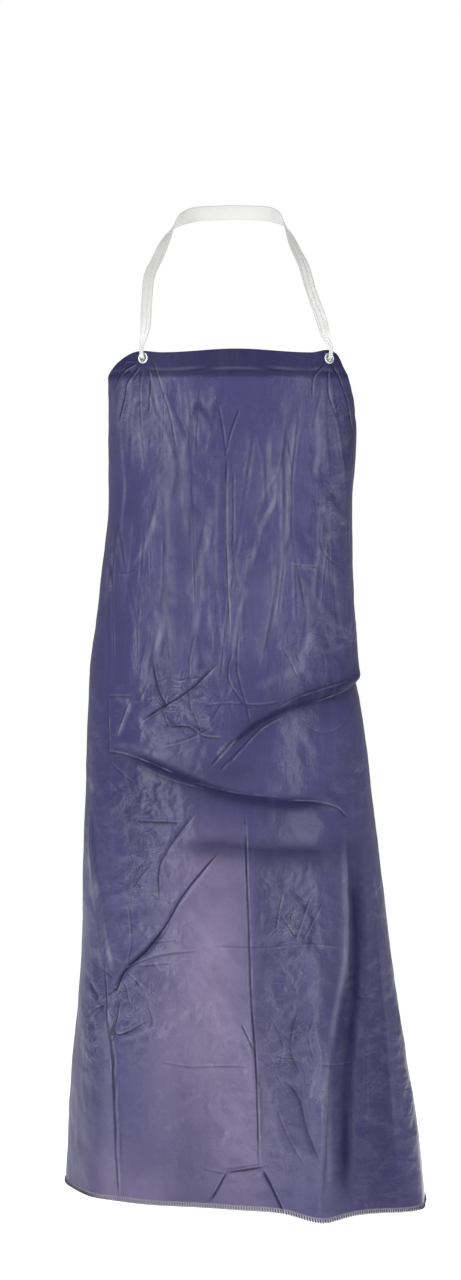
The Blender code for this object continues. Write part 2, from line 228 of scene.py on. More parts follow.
def from_table(table, across, height):
    """A value between the table's four nearest places."""
    r = np.clip((height - SECTION_HEIGHTS[0]) / SECTION_STEP, 0, len(SECTION_HEIGHTS) - 1.001)
    c = np.clip((across - ACROSS_PLACES[0]) / ACROSS_STEP, 0, len(ACROSS_PLACES) - 1.001)
    i, j = r.astype(int), c.astype(int)
    u, v = r - i, c - j
    low = table[i, j] * (1 - v) + table[i, j + 1] * v
    high = table[i + 1, j] * (1 - v) + table[i + 1, j + 1] * v
    return low * (1 - u) + high * u


def smooth_film(across, height):
    across, height = np.broadcast_arrays(np.asarray(across, float), np.asarray(height, float))
    x, y = from_table(TABLE_X, across, height), from_table(TABLE_Y, across, height)
    return np.stack([x, y, height - HEM_DROP], axis=-1)


def film_sides(across, height, step=4 * MM):
    """Vectors along the film to the right and up."""
    over = smooth_film(across + step, height) - smooth_film(across - step, height)
    up = smooth_film(across, height + step) - smooth_film(across, height - step)
    return over, up


def edge_line(line, across):
    return smooth_through(*zip(*line), across)


# ---------------- folds of the film, in millimetres: a route is the across and height of each of its points
# Long soft folds of the skirt, as in the model: place across, half-width, ridge, height where each dies out
SKIRT_FOLDS = (
    (-200, 30, 6, 450), (-60, 45, -6, 350), (105, 26, 12, 420), (200, 40, -7, 500), (-330, 40, 10, 500),
    (350, 40, 10, 500),
)

# Laps: the film above the line bulges out and droops over the film below it. Bulge, droop, reach above,
# hollow below, reach below, softness, shaded reach above, route
LAPS = (
    (4.5, 1, 30, 7, 20, 2.6, 20, (290, 716, 215, 703, 140, 683, 60, 661, 25, 643, 3, 625, -32, 590)),
    (1.6, 0, 8, 2, 6, 1.6, 4, (215, 712, 140, 690, 104, 684, 60, 668)),
    (6, 1, 60, 8, 45, 4.6, 6, (-180, 602, -130, 598, -81, 580, -11, 554, 50, 543, 125, 536, 150, 522)),
    (3, 0, 45, 3, 30, 8, 4, (-80, 484, -20, 488, 30, 480, 90, 478, 150, 474)),
)

# Creases: a ridge or, where the height is negative, a valley. Height, half-width, route
CREASES = (
    (-2.4, 3.4, (-27, 720, -65, 685, -105, 660, -125, 645)), (-2, 3.2, (-111, 720, -103, 687, -90, 664)),
    (-2, 3.2, (-98, 666, -85, 645, -55, 640, -18, 625)), (2.4, 3.6, (-95, 672, -70, 668, -55, 645)),
    (2.4, 3, (4, 628, -14, 612, -26, 600)), (2.4, 4, (-172, 683, -150, 672, -166, 625)),
    (-1.8, 3, (-155, 517, -110, 516, -70, 514)), (-1.6, 3, (-55, 525, -80, 495, -101, 460, -103, 415)),
    (-2.2, 2.8, (-22, 478, -70, 420, -110, 360, -154, 320)), (1.8, 3, (-154, 322, -104, 345, -50, 352)),
    (-3.4, 4.2, (-95, 375, -125, 345, -154, 320, -172, 288)), (-2.2, 3, (-36, 26, -13, 64)),
    (-2.2, 3, (-16, 68, 36, 74)), (-3, 3, (32, 70, 43, 52, 64, 8)),
    (3, 3, (-150, 312, -116, 284, -108, 258, -168, 228)), (2.4, 3, (-150, 312, -172, 285, -178, 240)),
    (3, 3, (-222, 245, -205, 262, -190, 290)), (-2.6, 3, (-225, 300, -205, 285, -185, 265)),
    (-4, 12, (166, 470, 168, 330, 150, 180, 142, 20)), (-2, 3.6, (70, 430, 100, 390, 92, 340)),
    (2, 3.6, (60, 360, 80, 400, 105, 430)), (-1.8, 6, (61, 185, 79, 162, 88, 124, 102, 81)),
    (-1.4, 6, (80, 271, 70, 224, 80, 190)), (2.6, 5, (95, 150, 108, 210, 100, 260)),
)

# Sharp lines: painted shade along the route with a painted highlight on its left, seen along the route. They
# are sorted in three sets so that lines that meet are in different sets. Strength, route
LINES = (
    (
        (0.8, (-112, 1122, -105, 1100, -90, 1055, -80, 1005)), (0.9, (-132, 1121, -160, 1107, -177, 1083)),
        (0.8, (-127, 1112, -130, 1080, -127, 1030)), (0.8, (124, 1116, 124, 1080, 139, 1040)),
        (1, (-13, 1000, -14, 920, -12, 830, -9, 755)), (0.6, (2, 770, 1, 710, 12, 667, 18, 640)),
        (0.45, (-45, 666, -10, 669, 30, 667, 60, 671)), (0.9, (-22, 725, -65, 685, -105, 660, -130, 645)),
        (0.6, (-58, 660, -46, 630)), (0.5, (-180, 678, -141, 678)), (0.9, (-2, 625, -34, 588)),
        (1, (11, 540, 13, 460, 16, 380, 19, 290, 24, 220, 27, 145, 29, 60)),
        (1, (-20, 480, -42, 455, -70, 420, -90, 387, -115, 355, -154, 320)), (0.8, (-135, 515, -72, 514)),
        (0.95, (-188, 340, -180, 270, -172, 230, -166, 137, -162, 10)), (0.6, (56, 397, 80, 360)),
        (0.7, (99, 421, 75, 360)), (0.95, (-32, 30, -12, 66)), (0.95, (34, 70, 43, 52, 62, 12)),
        (0.4, (61, 185, 79, 162, 88, 124)), (0.4, (103, 202, 128, 199, 155, 201)),
        (0.6, (-250, 210, -208, 193)), (0.28, (88, 641, 114, 630, 142, 635, 163, 651, 190, 685)),
        (0.8, (-160, 285, -167, 237, -114, 258)), (0.95, (226, 714, 190, 699, 150, 687, 105, 674)),
        (0.95, (-184, 605, -150, 601, -118, 591, -80, 576)),
    ),
    (
        (0.95, (-129, 1117, -145, 1097, -165, 1040)), (0.85, (-119, 1112, -115, 1095, -118, 1050)),
        (0.95, (130, 1117, 153, 1080, 173, 1030)), (0.75, (4, 1058, -8, 1025, -15, 995)),
        (0.6, (-4, 975, -5, 870)), (0.75, (-111, 728, -103, 687, -88, 660)),
        (0.6, (-6, 740, -11, 702, 10, 668)), (0.6, (-65, 697, -60, 660)),
        (0.8, (-98, 666, -89, 641, -62, 639, -44, 627, -15, 624)), (0.8, (-142, 676, -165, 628)),
        (0.7, (14, 620, -22, 583)), (0.75, (-52, 530, -79, 496, -101, 459, -103, 410)),
        (0.65, (-160, 318, -104, 341, -48, 349)), (0.9, (6, 256, 22, 222)), (1, (-12, 65, 36, 72)),
        (0.6, (114, 411, 84, 358)), (0.6, (61, 428, 50, 375)),
        (0.45, (-101, 204, -60, 199, -20, 201, 20, 200)), (0.35, (145, 353, 95, 358, 30, 354, -37, 356)),
        (0.35, (80, 275, 70, 224, 82, 188)), (0.7, (-240, 250, -205, 264, -182, 275)),
        (1, (-154, 320, -168, 290)), (0.6, (-180, 678, -180, 602)),
        (0.55, (160, 702, 115, 691, 75, 678, 50, 664)), (0.9, (70, 542, 110, 539, 140, 530, 156, 517)),
        (0.5, (-130, 585, -90, 569, -40, 556)),
    ),
    (
        (0.4, (-120, 1122, -155, 1124)), (0.8, (120, 1118, 104, 1102, 100, 1070)),
        (0.6, (-24, 1062, -17, 1020, -14, 990)), (0.6, (-55, 760, -62, 725, -62, 695)),
        (0.5, (-20, 670, -35, 645)), (0.6, (-135, 326, -84, 332)), (0.5, (-114, 357, -79, 362)),
        (0.7, (-150, 317, -125, 297)), (0.6, (-156, 308, -145, 275)), (0.45, (-109, 466, -146, 423)),
        (0.5, (-44, 69, -10, 62)), (0.6, (-119, 280, -112, 255)), (0.6, (-195, 322, -172, 308)),
        (0.5, (-148, 325, -142, 372, -150, 410)), (0.6, (-165, 296, -190, 280)),
        (0.6, (-30, 640, -70, 622, -100, 615)), (0.6, (-118, 700, -130, 672)),
        (0.6, (60, 742, 74, 716, 80, 702)), (0.6, (-48, 705, -78, 700)), (0.4, (88, 124, 104, 80)),
        (0.35, (45, 262, 60, 225, 55, 200)), (0.35, (100, 265, 92, 235, 100, 205)),
        (0.4, (50, 150, 66, 110, 88, 70)), (0.3, (-136, 846, -150, 841, -166, 843)),
        (0.45, (71, 851, 111, 848)), (0.5, (-177, 590, -140, 563)), (0.5, (112, 905, 116, 870, 150, 845)),
        (0.8, (65, 656, 36, 641, 16, 622, -12, 590)), (0.6, (200, 712, 206, 694, 196, 680)),
        (0.45, (-60, 566, 0, 552, 60, 546)),
    ),
)

# Pleats: a steep flank along the route, drawn from its top down, and a gentle flank beside it, to the right
# of the route where the reach is positive and to the left where it is negative. Height, reach, route
PLEATS = (
    (2.3, -20, (-116, 1112, -110, 1060, -90, 1022, -80, 982, -88, 925)),
    (1.4, -12, (-100, 1095, -86, 1060, -66, 1010, -61, 930, -63, 860)),
    (1.8, -10, (-131, 1108, -127, 1050, -126, 980)), (1.7, -9, (-140, 1112, -146, 1060, -150, 1000)),
    (1.4, -8, (-148, 1112, -160, 1070, -168, 1020)), (2.3, -10, (130, 1106, 134, 1068, 152, 990, 168, 920)),
    (1.4, -8, (122, 1100, 120, 1050, 124, 1000, 128, 960)), (1.3, 12, (120, 1108, 108, 1060, 100, 1020)),
    (1.4, 6, (-13, 995, -13, 900, -10, 800, -6, 720)),
    (1.8, -12, (11, 540, 13, 420, 15, 340, 21, 240, 26, 180)),
    (2.2, -12, (18, 290, 22, 220, 30, 150, 31, 70)),
    (2, -13, (66, 1055, 62, 1010, 58, 980, 36, 940, 20, 895)),
    (1.3, -9, (82, 1030, 74, 985, 70, 930, 74, 860)), (1.7, 22, (116, 950, 108, 900, 114, 840)),
    (1.4, -12, (-38, 925, -50, 885, -56, 840, -50, 780)),
    (1.2, -10, (-30, 900, -26, 850, -30, 800, -24, 730)), (1.2, -8, (24, 890, 12, 840, 6, 780, 10, 720)),
    (2.2, -24, (58, 865, 50, 810, 36, 740, 28, 710)), (0.9, -10, (-120, 890, -108, 930, -100, 970)),
    (1.3, -12, (-90, 840, -94, 760, -104, 710)), (1, -14, (-140, 930, -146, 860, -156, 780)),
    (1.5, 20, (92, 840, 94, 780, 80, 720)), (1.4, 16, (132, 860, 140, 800, 150, 740)),
    (1.3, -10, (-56, 770, -50, 730, -58, 690)), (5, -12, (-224, 530, -212, 460, -197, 390, -182, 300)),
    (5, -30, (-180, 300, -170, 225, -166, 160, -158, 10)), (4, -8, (152, 500, 153, 420, 150, 280)),
    (5, -26, (124, 250, 116, 150, 108, 20)), (1.4, 30, (210, 400, 216, 250, 222, 50)),
)

# Pale streaks where the stretched film catches the light. Half-width, strength, route
STREAKS = (
    (3.5, 0.45, (-104, 990, -110, 912, -125, 870, -147, 845)),
    (3.2, 0.4, (-94, 1020, -91, 893, -93, 822, -89, 740)), (3, 0.4, (-70, 1000, -70, 935, -64, 890)),
    (3.5, 0.55, (-114, 1095, -98, 1040, -85, 1015, -90, 985)),
    (3.5, 0.45, (-137, 1080, -142, 1040, -138, 1000)),
    (3, 0.4, (-160, 1080, -163, 1030, -157, 960, -165, 880)),
    (3.5, 0.55, (45, 1035, 43, 985, 52, 944, 33, 902, 24, 869, 5, 827)),
    (3, 0.5, (5, 835, 12, 815, 4, 790, -4, 730)), (4, 0.4, (76, 1060, 73, 1000, 66, 890, 52, 800, 45, 730)),
    (6, 0.45, (-30, 940, -42, 869, -51, 808, -56, 740)), (3, 0.45, (-45, 850, -62, 815, -50, 800)),
    (3, 0.3, (-22, 1000, -26, 900, -22, 780)), (4, 0.4, (103, 1060, 110, 1020, 104, 960)),
    (6, 0.35, (120, 930, 128, 890, 118, 850, 150, 820)), (2.5, 0.6, (72, 851, 108, 848)),
    (6, 0.35, (90, 800, 100, 760, 82, 720)), (3.5, 0.4, (-110, 800, -100, 770, -112, 730)),
    (3.5, 0.35, (-178, 615, -130, 611, -90, 595)),
    (3.6, 0.8, (-216, 453, -205, 429, -191, 380, -177, 331, -170, 307)),
    (2.6, 0.5, (-262, 262, -235, 240, -222, 212)), (2.6, 0.5, (-255, 218, -233, 203, -212, 208)),
    (2.6, 0.5, (-252, 186, -236, 165)), (3, 0.35, (205, 450, 222, 400, 245, 330)),
    (6, 0.25, (20, 690, 60, 705, 110, 730)), (5, 0.3, (-30, 180, 0, 140, -5, 90)),
    (4, 0.3, (40, 180, 50, 120, 70, 70)),
)

# Crumpled patches: place across, height, width, tallness, weight
PATCHES = (
    (-75, 670, 55, 50, 1), (-130, 440, 50, 90, 0.9), (75, 380, 45, 60, 0.9), (-140, 270, 45, 50, 1),
    (-205, 250, 25, 90, 0.9), (250, 150, 30, 100, 0.5), (190, 250, 35, 150, 0.35), (70, 220, 45, 70, 0.8),
    (-20, 200, 60, 120, 0.3), (50, 80, 70, 50, 0.45), (130, 920, 30, 70, 0.9), (130, 760, 60, 50, 0.7),
    (-140, 540, 40, 30, 0.8), (-145, 1060, 35, 50, 0.9), (145, 1050, 30, 50, 0.7), (-90, 1000, 20, 50, 0.4),
    (-20, 900, 80, 180, 0.25), (150, 580, 50, 50, 0.3),
)
ROUTE_STEP = 6 * MM
CALM_REACH = (8 * MM, 19 * MM)  # the film is held flat up to the first distance from an eyelet's middle


def beside(route, across, height, reach):
    """Which points can lie within reach of a route, how far they are above or left of it in millimetres, and
    their share of the way along it."""
    route = np.reshape(route, (-1, 2)) * MM
    low, high = route.min(axis=0) - reach * MM, route.max(axis=0) + reach * MM
    here = (across > low[0]) & (across < high[0]) & (height > low[1]) & (height < high[1])
    across, height = across[here], height[here]
    marks = marks_along(route)
    fine = np.linspace(0, marks[-1], max(8, int(marks[-1] / ROUTE_STEP)))
    line = np.stack([smooth_through(marks, route[:, k], fine) for k in (0, 1)], axis=1)
    best = np.full(across.shape, 1e9)
    signed, share = np.zeros(across.shape), np.zeros(across.shape)
    for k in range(len(line) - 1):
        start, step = line[k], line[k + 1] - line[k]
        dx, dy = across - start[0], height - start[1]
        t = np.clip((dx * step[0] + dy * step[1]) / float(np.hypot(*step)) ** 2, 0, 1)
        away = np.hypot(dx - t * step[0], dy - t * step[1])
        nearer = away < best
        best = np.where(nearer, away, best)
        signed = np.where(nearer, away * np.sign(step[0] * dy - step[1] * dx), signed)
        share = np.where(nearer, (k + t) / (len(line) - 1), share)
    return here, signed / MM, share


def scattered(column, row, seed):
    """A repeatable number between 0 and 1 for each cell of a grid."""
    n = column.astype(np.int64) * 374761393 + row.astype(np.int64) * 668265263 + seed * 974634777
    n = (n ^ (n >> 13)) * 1274126177 & 0xFFFFFFFF
    n = (n ^ (n >> 15)) * 2246822519 & 0xFFFFFFFF
    return ((n ^ (n >> 16)) & 0xFFFF) / 65535.0


def wandering(x, y, seed):
    """Smooth noise, about -1 to 1, with features one unit across."""
    column, row = np.floor(x), np.floor(y)
    fx, fy = x - column, y - row
    ease_x, ease_y = fx**3 * (fx * (6 * fx - 15) + 10), fy**3 * (fy * (6 * fy - 15) + 10)
    corners = []
    for i, j in ((0, 0), (1, 0), (0, 1), (1, 1)):
        angle = 2 * math.pi * scattered(column + i, row + j, seed)
        corners.append(np.cos(angle) * (fx - i) + np.sin(angle) * (fy - j))
    low = corners[0] + (corners[1] - corners[0]) * ease_x
    high = corners[2] + (corners[3] - corners[2]) * ease_x
    return 1.4 * (low + (high - low) * ease_y)


def facets(x, y, seed):
    """A crumpled sheet, -1 to 1: random heights on a triangular grid one unit wide, with flat facets."""
    skew = 0.366 * (x + y)
    column, row = np.floor(x + skew), np.floor(y + skew)
    u, v = x + skew - column, y + skew - row
    big, small = np.maximum(u, v), np.minimum(u, v)
    near = scattered(column, row, seed)
    far = scattered(column + 1, row + 1, seed)
    between = np.where(u > v, scattered(column + 1, row, seed), scattered(column, row + 1, seed))
    return 2 * (near * (1 - big) + between * (big - small) + far * small) - 1


def neck_eyelet_across(side):
    low, high = 0.05, 0.17
    for _ in range(40):
        middle = (low + high) / 2
        if abs(smooth_film(side * middle, NECK_EYELET_HEIGHT)[0]) < NECK_EYELET_X:
            low = middle
        else:
            high = middle
    return side * low


EYELETS = {
    "left_neck_eyelet": (neck_eyelet_across(-1), NECK_EYELET_HEIGHT),
    "right_neck_eyelet": (neck_eyelet_across(1), NECK_EYELET_HEIGHT),
}
for side_name, side, side_cut in (("left", -1, LEFT_CUT), ("right", 1, RIGHT_CUT)):
    waist_across = side * float(section_value(side_cut, WAIST_EYELET_HEIGHT) - WAIST_EYELET_MARGIN)
    EYELETS[side_name + "_waist_eyelet"] = (waist_across, WAIST_EYELET_HEIGHT)


def folds(across, height):
    """How far the folds push the film out of its smooth surface and down, and where they get painted shade
    and painted highlights.
    """
    out, down, shade, painted_highlight = (np.zeros(across.shape) for _ in range(4))
    for place, half_width, ridge, top in np.array(SKIRT_FOLDS) * MM:
        out += ridge * np.clip(1 - height / top, 0, None) ** 0.8 * bell(across - place, half_width)
    for rise, width, route in CREASES:
        here, signed, share = beside(route, across, height, 4 * width)
        fade = end_fade(share, 0.16)
        out[here] += rise * MM * (bell(signed, width) - 0.35 * bell(signed, 2.6 * width)) * fade
        if rise > 0:
            painted_highlight[here] += 0.7 * bell(signed, 1.2 * width) * fade
        else:
            shade[here] += min(1.0, -rise / 3) * bell(signed, 0.8 * width) * fade
    for bulge, droop, above, hollow, below, soft, shaded, route in LAPS:
        here, signed, share = beside(route, across, height, 4 * above)
        signed = signed * (1 if route[-2] > route[0] else -1)
        fade = end_fade(share, 0.22)
        step = 0.5 + 0.5 * np.tanh(signed / soft)
        lip, pit = decay(signed, above) * step, decay(-signed, below) * (1 - step)
        out[here] += fade * (bulge * lip - hollow * pit) * MM
        shade[here] += 1.1 * fade * min(1.0, hollow / 7) * bell(signed + 0.6 * soft, 1.9 * soft)
        shade[here] += 0.75 * fade * decay(signed, shaded) * step
        down[here] += fade * droop * MM * decay(signed, 0.35 * above) * step
    for rise, reach, route in PLEATS:
        here, signed, share = beside(route, across, height, 4 * abs(reach))
        signed = signed * np.sign(reach)
        fade = ramp(share, 0, 0.22) * (1 - ramp(share, 0.72, 1))
        flank = fade * decay(signed, abs(reach)) * (0.5 + 0.5 * np.tanh(signed / 1.5))
        out[here] += 1.35 * rise * MM * flank
        painted_highlight[here] += min(1.0, rise / 2.2) * flank
        shade[here] += 0.5 * min(1.0, rise / 2.8) * fade * bell(signed + 2.2, 2.2)
    painted_highlight *= 0.75 + 0.5 * wandering(across / 0.009, height / 0.050, 61)
    return out, down, np.clip(shade, 0, 1), np.clip(painted_highlight, 0, 1)


def sharp_lines(across, height):
    """For each set of lines, the signed distance to the nearest in millimetres and its strength there."""
    far = 9.0
    aside, strength = np.full(across.shape + (3,), far), np.zeros(across.shape + (3,))
    for k, lines in enumerate(LINES):
        for strong, route in lines:
            here, signed, share = beside(route, across, height, far)
            weight = strong * end_fade(share, 0.12) * (1 - ramp(np.abs(signed), 4.5, 8.0))
            nearer = np.abs(signed) < np.abs(aside[here, k])
            aside[here, k] = np.where(nearer, signed, aside[here, k])
            strength[here, k] = np.where(nearer, weight, strength[here, k])
    return aside, strength


def masks(across, height):
    """Where the film is crinkled in long upright lines, and where it is crumpled, each from 0 to 1."""
    chest = ramp(height, 0.62, 0.76) * (1 - ramp(height, 1.07, 1.105))
    crumple = sum(weight * spot(across, height, *where) for *where, weight in PATCHES)
    cloudy = ramp(wandering(across / 0.05, height / 0.10, 41), -0.35, 0.45)
    return chest * (0.25 + 0.75 * cloudy), np.clip(crumple + 0.16, 0, 1)


def crinkles(across, height):
    """Small creases of the thin film that are large enough to be real shape."""
    chest, crumple = masks(across, height)
    bend = 0.35 * wandering(across / 0.06, height / 0.09, 3)
    out = chest * 0.75 * MM * facets(across / 0.022 + bend, height / 0.110, 5)
    out = out + chest * 0.35 * MM * facets(across / 0.009 + 2 * bend, height / 0.050, 6)
    warp_a = across + 0.007 * wandering(across / 0.035, height / 0.035, 11)
    warp_b = height + 0.007 * wandering(across / 0.035, height / 0.035, 12)
    a, b = 0.88 * warp_a + 0.47 * warp_b, 0.88 * warp_b - 0.47 * warp_a
    out = out + crumple * 2.6 * MM * facets(a / 0.020, b / 0.030, 21)
    out = out + crumple**1.3 * 1.3 * MM * facets(b / 0.0095, a / 0.012, 22)
    out = out + 0.5 * MM * facets(a / 0.050, b / 0.060, 23)
    return out + 1.6 * MM * wandering(across / 0.11, height / 0.16, 31)


def film_surface(across, height, offset=0.0):
    """Points of the folded film, or of a layer this far outside it, and its smooth outward normals."""
    across, height = np.broadcast_arrays(np.asarray(across, float), np.asarray(height, float))
    shape = across.shape
    across, height = np.atleast_1d(across), np.atleast_1d(height)
    out, down, _, _ = folds(across, height)
    quiet = np.ones(across.shape)
    for place, level in EYELETS.values():
        quiet *= ramp(np.hypot(across - place, height - level), *CALM_REACH)
    corner = ramp(np.abs(across), 0.122, 0.140)
    hem_quiet = 1 - 0.75 * ramp(height, FOLD_END - 0.012, FOLD_END) * (1 - corner)
    normal = unit(np.cross(*film_sides(across, height)))
    out = (out + crinkles(across, height)) * quiet * hem_quiet
    points = smooth_film(across, height) + normal * (out + offset)[..., None]
    points[..., 2] -= down * quiet
    return points.reshape(shape + (3,)), normal.reshape(shape + (3,))


def grid_place(column, row):
    """Distance across the film and height of a grid place, from 0 to 1 each way."""
    column, row = np.broadcast_arrays(np.asarray(column, float), np.asarray(row, float))
    height = row * TOP
    for _ in range(3):
        left, right = section_value(LEFT_CUT, height), section_value(RIGHT_CUT, height)
        across = -left + column * (left + right)
        low = edge_line(HEM_LINE, across)
        height = low + row * (edge_line(TOP_LINE, across) - low)
    return across, height


# ---------------- node materials
class Nodes:
    """Short ways to add nodes to a material or a world. A value is a node's output or a plain one."""

    def __init__(self, owner, shader="Principled BSDF"):
        self.owner = owner
        owner.use_nodes = True
        self.tree = owner.node_tree
        self.shader = self.tree.nodes[shader]

    def put(self, value, socket):
        if isinstance(value, bpy.types.NodeSocket):
            self.tree.links.new(value, socket)
        elif socket.type == "RGBA":
            socket.default_value = (*value, 1.0)
        else:
            socket.default_value = value

    def add(self, kind, inputs, output=0, **settings):
        made = self.tree.nodes.new("ShaderNode" + kind)
        for key, value in settings.items():
            setattr(made, key, value)
        for key, value in inputs.items():
            self.put(value, made.inputs[key])
        return made.outputs[output]

    def shade(self, **values):
        for key, value in values.items():
            self.put(value, self.shader.inputs[key.replace("_", " ")])

    def maths(self, operation, *values):
        return self.add("Math", dict(enumerate(values)), operation=operation)

    def times(self, first, second):
        return self.maths("MULTIPLY", first, second)

    def mix(self, share, first, second):
        return self.add("Mix", {0: share, 6: first, 7: second}, output=2, data_type="RGBA")

    def stored(self, name, output="Vector"):
        return self.add("Attribute", {}, output, attribute_name=name)

    def parts(self, vector):
        return list(self.add("SeparateXYZ", {0: vector}).node.outputs)

    def noise(self, where, scale, detail, distortion=0.0, output=0):
        inputs = {"Vector": where, "Scale": scale, "Detail": detail, "Distortion": distortion}
        return self.add("TexNoise", inputs, output)

    def scaled(self, value, low, high, at_low, at_high, kind="LINEAR"):
        inputs = {"Value": value, "From Min": low, "From Max": high, "To Min": at_low, "To Max": at_high}
        return self.add("MapRange", inputs, interpolation_type=kind)

    def line(self, value, low, high):
        """1 at low and 0 at high, smooth between."""
        return self.scaled(value, low, high, 1.0, 0.0, "SMOOTHSTEP")

    def bump(self, height, strength, distance, below=None):
        inputs = {"Height": height, "Strength": strength, "Distance": distance}
        if below:
            inputs["Normal"] = below
        return self.add("Bump", inputs)


def film_material():
    made = Nodes(bpy.data.materials.new("vinyl_film"))
    place, colour = made.stored("film_place"), made.stored("film_colour", "Color")
    chest, crumple, dull = made.parts(made.stored("film_masks"))

    # fine upright lines of the chest, as the ridges of a stretched noise
    upright = made.add("Mapping", {"Vector": place, "Scale": (1.0, 0.12, 1.0)})
    ridges = made.maths("ABSOLUTE", made.maths("SUBTRACT", made.noise(upright, 150.0, 3.0, 1.2), 0.5))
    ridges = made.times(ridges, chest)

    # small creases of the crumpled patches: pyramids with flat sides at two sizes
    bend = made.noise(place, 26.0, 2.0, output="Color")
    bent = made.add("VectorMath", {0: bend, 1: (0.028, 0.028, 0.0), 2: place}, operation="MULTIPLY_ADD")
    large, small = (made.add("TexVoronoi", {"Vector": bent, "Scale": size}, distance="MANHATTAN")
                    for size in (44.0, 105.0))
    cells = made.times(made.maths("MULTIPLY_ADD", small, 0.42, large), crumple)

    # sharp lines: painted shade along the route and a painted highlight on its left, which is broken by a
    # noise
    crease_shades, crease_highlights = 0.0, 0.0
    asides, strengths = (made.parts(made.stored(name)) for name in ("line_aside", "line_strength"))
    for aside, strong in zip(asides, strengths):
        dark = made.line(made.maths("ABSOLUTE", aside), 0.2, 1.9)
        painted_highlight = made.line(made.maths("ABSOLUTE", made.maths("SUBTRACT", aside, 2.6)), 0.2, 1.7)
        crease_shades = made.maths("MAXIMUM", crease_shades, made.times(dark, strong))
        crease_highlights = made.maths("MAXIMUM", crease_highlights, made.times(painted_highlight, strong))
    broken = made.scaled(made.noise(place, 60.0, 3.0), 0.35, 0.60, 0.25, 1.0)
    crease_highlights = made.times(crease_highlights, broken)

    # a faint web of thin creases, painted as shade in them with a painted highlight beside: cells of two
    # sizes in the crumpled patches, tall ones over the chest
    faint_crease_shades, faint_crease_highlights = 0.0, 0.0
    for where, size, share, low in ((bent, 62.0, crumple, 0.06), (bent, 31.0, crumple, 0.035),
                                    (upright, 30.0, chest, 0.05)):
        web = made.add("TexVoronoi", {"Vector": where, "Scale": size}, feature="DISTANCE_TO_EDGE")
        dark, wide = made.line(web, 0.0, low), made.line(web, 0.9 * low, 2.4 * low)
        share = made.times(made.times(share, share), broken)
        faint_crease_shades = made.maths("MAXIMUM", faint_crease_shades, made.times(dark, share))
        rim = made.maths("SUBTRACT", wide, dark)
        faint_crease_highlights = made.maths("MAXIMUM", faint_crease_highlights, made.times(rim, share))

    normal = made.bump(ridges, 0.17, 0.008)
    normal = made.bump(cells, 0.55, 0.0028, normal)
    normal = made.bump(made.noise(place, 300.0, 4.0), 0.22, 0.001, normal)

    # painted sheen along the fine lines, slightly deeper clouds, then the painted highlights and shade of
    # the lines
    scuffs_and_sheen = made.scaled(made.noise(upright, 70.0, 5.0, 0.8), 0.54, 0.74, 0.0, 0.09)
    clouds = made.noise(place, 22.0, 4.0)
    dim = made.scaled(clouds, 0.45, 0.75, 0.0, 0.30)
    for share, tint in ((scuffs_and_sheen, (0.175, 0.160, 0.270)), (dim, (0.034, 0.031, 0.088)),
                        (made.times(faint_crease_highlights, 0.24), (0.300, 0.280, 0.400)),
                        (made.times(faint_crease_shades, 0.52), (0.016, 0.014, 0.055)),
                        (made.times(crease_highlights, 0.30), (0.330, 0.310, 0.430)),
                        (made.times(crease_shades, 0.85), (0.010, 0.009, 0.040))):
        colour = made.mix(share, colour, tint)
    rough = made.maths("ADD", made.scaled(clouds, 0.3, 0.8, 0.22, 0.34), made.times(dull, 0.22))
    rough = made.maths("ADD", rough, made.times(crumple, 0.10))
    gloss = made.maths("SUBTRACT", 0.36, made.times(dull, 0.27))
    made.shade(Base_Color=colour, Normal=normal, Roughness=rough, Specular_IOR_Level=gloss, IOR=1.50)
    return made.owner


def thread_material(name, colour, dark):
    made = Nodes(bpy.data.materials.new(name))
    place = made.add("TexCoord", {}, "Object")
    twist = made.add("TexWave", {"Vector": place, "Scale": 420.0, "Distortion": 1.5}, "Fac")
    made.shade(Base_Color=made.mix(made.noise(place, 2200.0, 3.0), dark, colour),
               Normal=made.bump(twist, 0.5, 0.0003), Roughness=0.82, Sheen_Weight=0.1)
    return made.owner


HERRINGBONE = 2.5 * MM
RIB_PITCH = 1.1 * MM
YARN_PITCH = 0.8 * MM


def tape_material():
    """Herringbone cotton: fine ribs that lean one way and then the other across the tape."""
    made = Nodes(bpy.data.materials.new("cotton_tape"))
    place = made.stored("tape_place")
    across, along, _ = made.parts(place)
    lean = made.maths("ADD", along, made.maths("PINGPONG", across, HERRINGBONE))
    ribs = made.maths("SINE", made.times(lean, 2 * math.pi / RIB_PITCH))
    yarn = made.maths("SINE", made.times(across, 2 * math.pi / YARN_PITCH))
    weave = made.maths("ADD", ribs, made.times(yarn, 0.5))
    soil = made.times(made.noise(place, 45.0, 3.0), 0.25)
    tone = made.mix(made.scaled(weave, -1.5, 1.5, 0.0, 1.0), (0.73, 0.73, 0.72), (0.80, 0.80, 0.79))
    height = made.maths("ADD", weave, made.times(made.noise(place, 1800.0, 4.0), 0.5))
    made.shade(Base_Color=made.mix(soil, tone, (0.74, 0.73, 0.70)), Normal=made.bump(height, 0.12, 0.0001),
               Roughness=0.9, Sheen_Weight=0.25)
    return made.owner


def nickel_material():
    made = Nodes(bpy.data.materials.new("nickel_plate"))
    scuffs_and_sheen = made.noise(made.add("TexCoord", {}, "Object"), 900.0, 4.0)
    made.shade(Base_Color=made.mix(scuffs_and_sheen, (0.66, 0.66, 0.67), (0.82, 0.82, 0.83)), Metallic=1.0,
               Roughness=made.scaled(scuffs_and_sheen, 0.3, 0.7, 0.16, 0.34), Normal=made.bump(scuffs_and_sheen, 0.08, 0.0002))
    return made.owner


# ---------------- camera
CAMERA_DISTANCE = 4.15  # from the wearer's middle plane
CAMERA_ACROSS = -0.0074
CAMERA_HEIGHT = -0.588
VIEW_HEIGHT = 1.729  # of the frame at that plane
MIDDLE_DEPTH = -0.075


